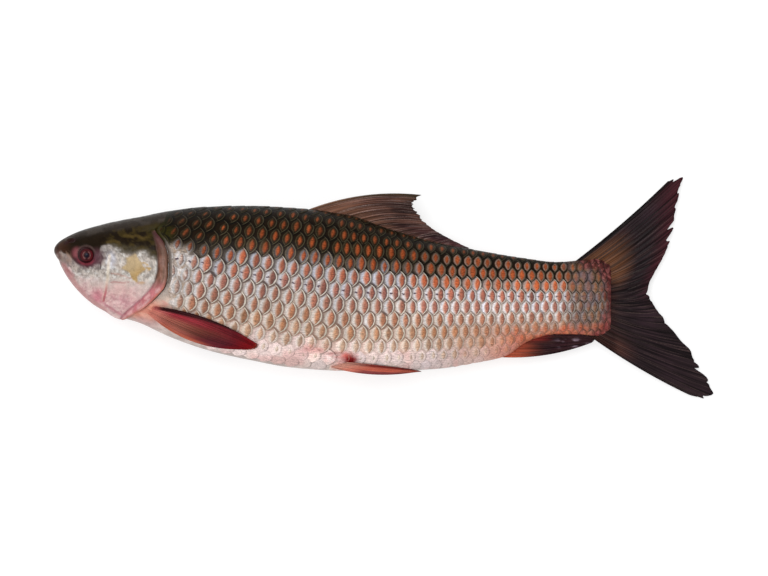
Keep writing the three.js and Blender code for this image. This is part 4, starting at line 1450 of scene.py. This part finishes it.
def fins(material):
    """The seven fins, each with its height over the table."""

    def level(x, y, along):
        return mid_height_at(x) + 0.5 * np.sin(y / 11.0 + x / 17.0) * along

    def sagging(x, y, along):
        return mid_height_at(x) - FIN_SAG * along**2

    def pelvic(side):
        def height(x, y, along):
            least = PELVIC_ROOT_HEIGHT + (PELVIC_TIP_HEIGHT - PELVIC_ROOT_HEIGHT) * along
            return mid_height_at(x) + side * np.maximum(flank_at(x, y) + PELVIC_STANDOFF, least)

        return height

    def pectoral(side):
        def height(x, y, along):
            clear = PECTORAL_STANDOFF - PECTORAL_ROOT_DIP * ramp(0.1, 0.0, along)
            return mid_height_at(x) + side * (flank_at(x, y) + clear)

        return height

    fin_piece("tail_fin", CAUDAL, level, caudal_colours, material, 301)
    fin_piece("dorsal_fin", DORSAL, sagging, dorsal_colours, material, 302)
    fin_piece("anal_fin", ANAL, level, anal_colours, material, 303)
    for label, side in (("left", 1), ("right", -1)):
        fin_piece("pelvic_fin_" + label, PELVIC, pelvic(side), pelvic_colours, material, 304)
        fin_piece("pectoral_fin_" + label, PECTORAL, pectoral(side), pectoral_colours, material, 305)


# --- eyes


def eyeball(label, side, material):
    """An eyeball with its painted iris, a painted highlight on its pupil and a slightly raised clear
    front.
    """
    rings, segments = 48, 64
    polar = np.linspace(0.02, math.pi - 0.02, rings)[:, None]
    around = np.linspace(0, 2 * math.pi, segments, endpoint=False)[None, :]
    cornea = 0.25 * np.exp(-((polar / 0.45) ** 2))
    radius = EYE_RADIUS - 0.1 + cornea
    x = radius * np.sin(polar) * np.cos(around)
    y = radius * np.sin(polar) * np.sin(around)
    z = radius * np.cos(polar) * np.ones_like(around)
    out = flank_at(EYE[0], EYE[1]) - EYE_DEPTH
    centre = np.array([*EYE, mid_height_at(EYE[0]) + side * out])
    points = np.stack([x, y, side * z], axis=-1) + centre
    off_axis = np.hypot(x - 0.3, y) + 0.15 * (cloud(x, y, 1.2, 401) - 0.5)
    crescents = ramp(0.55, 0.1, np.abs(off_axis - 2.5)) * ramp(0.4, 1.4, np.abs(x - 0.2))
    tint = lay(linear("2c1013"), x, y, [
        ("4a191d", ramp(4.4, 3.8, off_axis)),
        ("74242a", 0.7, blob, 3.0, -0.6, 1.8, 3.0, 0.7),
        ("2c1216", 0.85 * ramp(3.5, 2.9, off_axis)),
        ("8a5c58", 0.6 * crescents),
        ("15121c", ramp(1.9, 1.4, off_axis)),
        # painted highlight on the pupil
        ("3a3e50", 0.35, blob, 0.5, 0.6, 0.4, 0.7, 0.6),
    ])
    ends = np.stack([points[0].mean(axis=0), points[-1].mean(axis=0)])
    points, faces, uv = tube(points, ends, side > 0)
    colours = np.concatenate([tint.reshape(-1, 4), tint[0, :1], tint[-1, :1]])
    name = "eyeball_" + label
    make_piece(name, points, faces, uv, {"tint": colours}, material, "eye_" + label)


# --- stage


def floor():
    """A plain pale floor."""
    mesh = bpy.data.meshes.new("floor")
    reach = FLOOR_REACH * MM
    corners = [(-reach, -reach, 0), (reach, -reach, 0), (reach, reach, 0), (-reach, reach, 0)]
    mesh.from_pydata(corners, [], [(0, 1, 2, 3)])
    s = Shader(
        "pale_floor",
        Base_Color=(0.4, 0.4, 0.4, 1),
        Specular_IOR_Level=0.05,
        Emission_Color=(1, 1, 1, 1),
        Emission_Strength=0.66,
    )
    s.surface("Roughness", s.noise(3, 3).spread(0.75, 0.9))
    mesh.materials.append(s.material)
    made = bpy.data.objects.new("floor", mesh)
    bpy.context.scene.collection.objects.link(made)


def softbox(name, place, size, power):
    """A square light that points at the fish."""
    data = bpy.data.lights.new(name, "AREA")
    data.shape = "SQUARE"
    data.size = size
    data.energy = power
    lamp = bpy.data.objects.new(name, data)
    lamp.location = place
    lamp.rotation_mode = "QUATERNION"
    lamp.rotation_quaternion = Vector(place).to_track_quat("Z", "Y")
    bpy.context.scene.collection.objects.link(lamp)


def lights():
    """White studio air and two softboxes."""
    world = bpy.data.worlds.new("studio")
    world.use_nodes = True
    background = next(n for n in world.node_tree.nodes if n.type == "BACKGROUND")
    background.inputs["Color"].default_value = (1, 1, 1, 1)
    background.inputs["Strength"].default_value = 0.5
    bpy.context.scene.world = world
    softbox("key", (-1.0, 1.8, 5.6), size=4.6, power=245)
    softbox("fill", (-2.6, -4.0, 4.4), size=4.0, power=115)


def camera():
    """The camera, straight above the fish."""
    data = bpy.data.cameras.new("camera")
    data.lens = SENSOR_WIDTH * (CAMERA_PLACE[2] - VIEW_LEVEL) / VIEW_WIDTH
    data.clip_start = 0.1
    data.clip_end = 50
    made = bpy.data.objects.new("camera", data)
    made.location = [q * MM for q in CAMERA_PLACE]
    bpy.context.scene.collection.objects.link(made)
    bpy.context.scene.camera = made


# --- the whole scene


def main():
    skin = skin_material()
    plates = scale_material()
    body_skin(skin)
    scales("scales_left", 1, plates)
    scales("scales_right", -1, plates)
    fins(fin_material())
    wet_eye = eye_material()
    eyeball("left", 1, wet_eye)
    eyeball("right", -1, wet_eye)
    floor()
    lights()
    camera()
    bpy.context.scene.view_settings.view_transform = "Standard"


main()
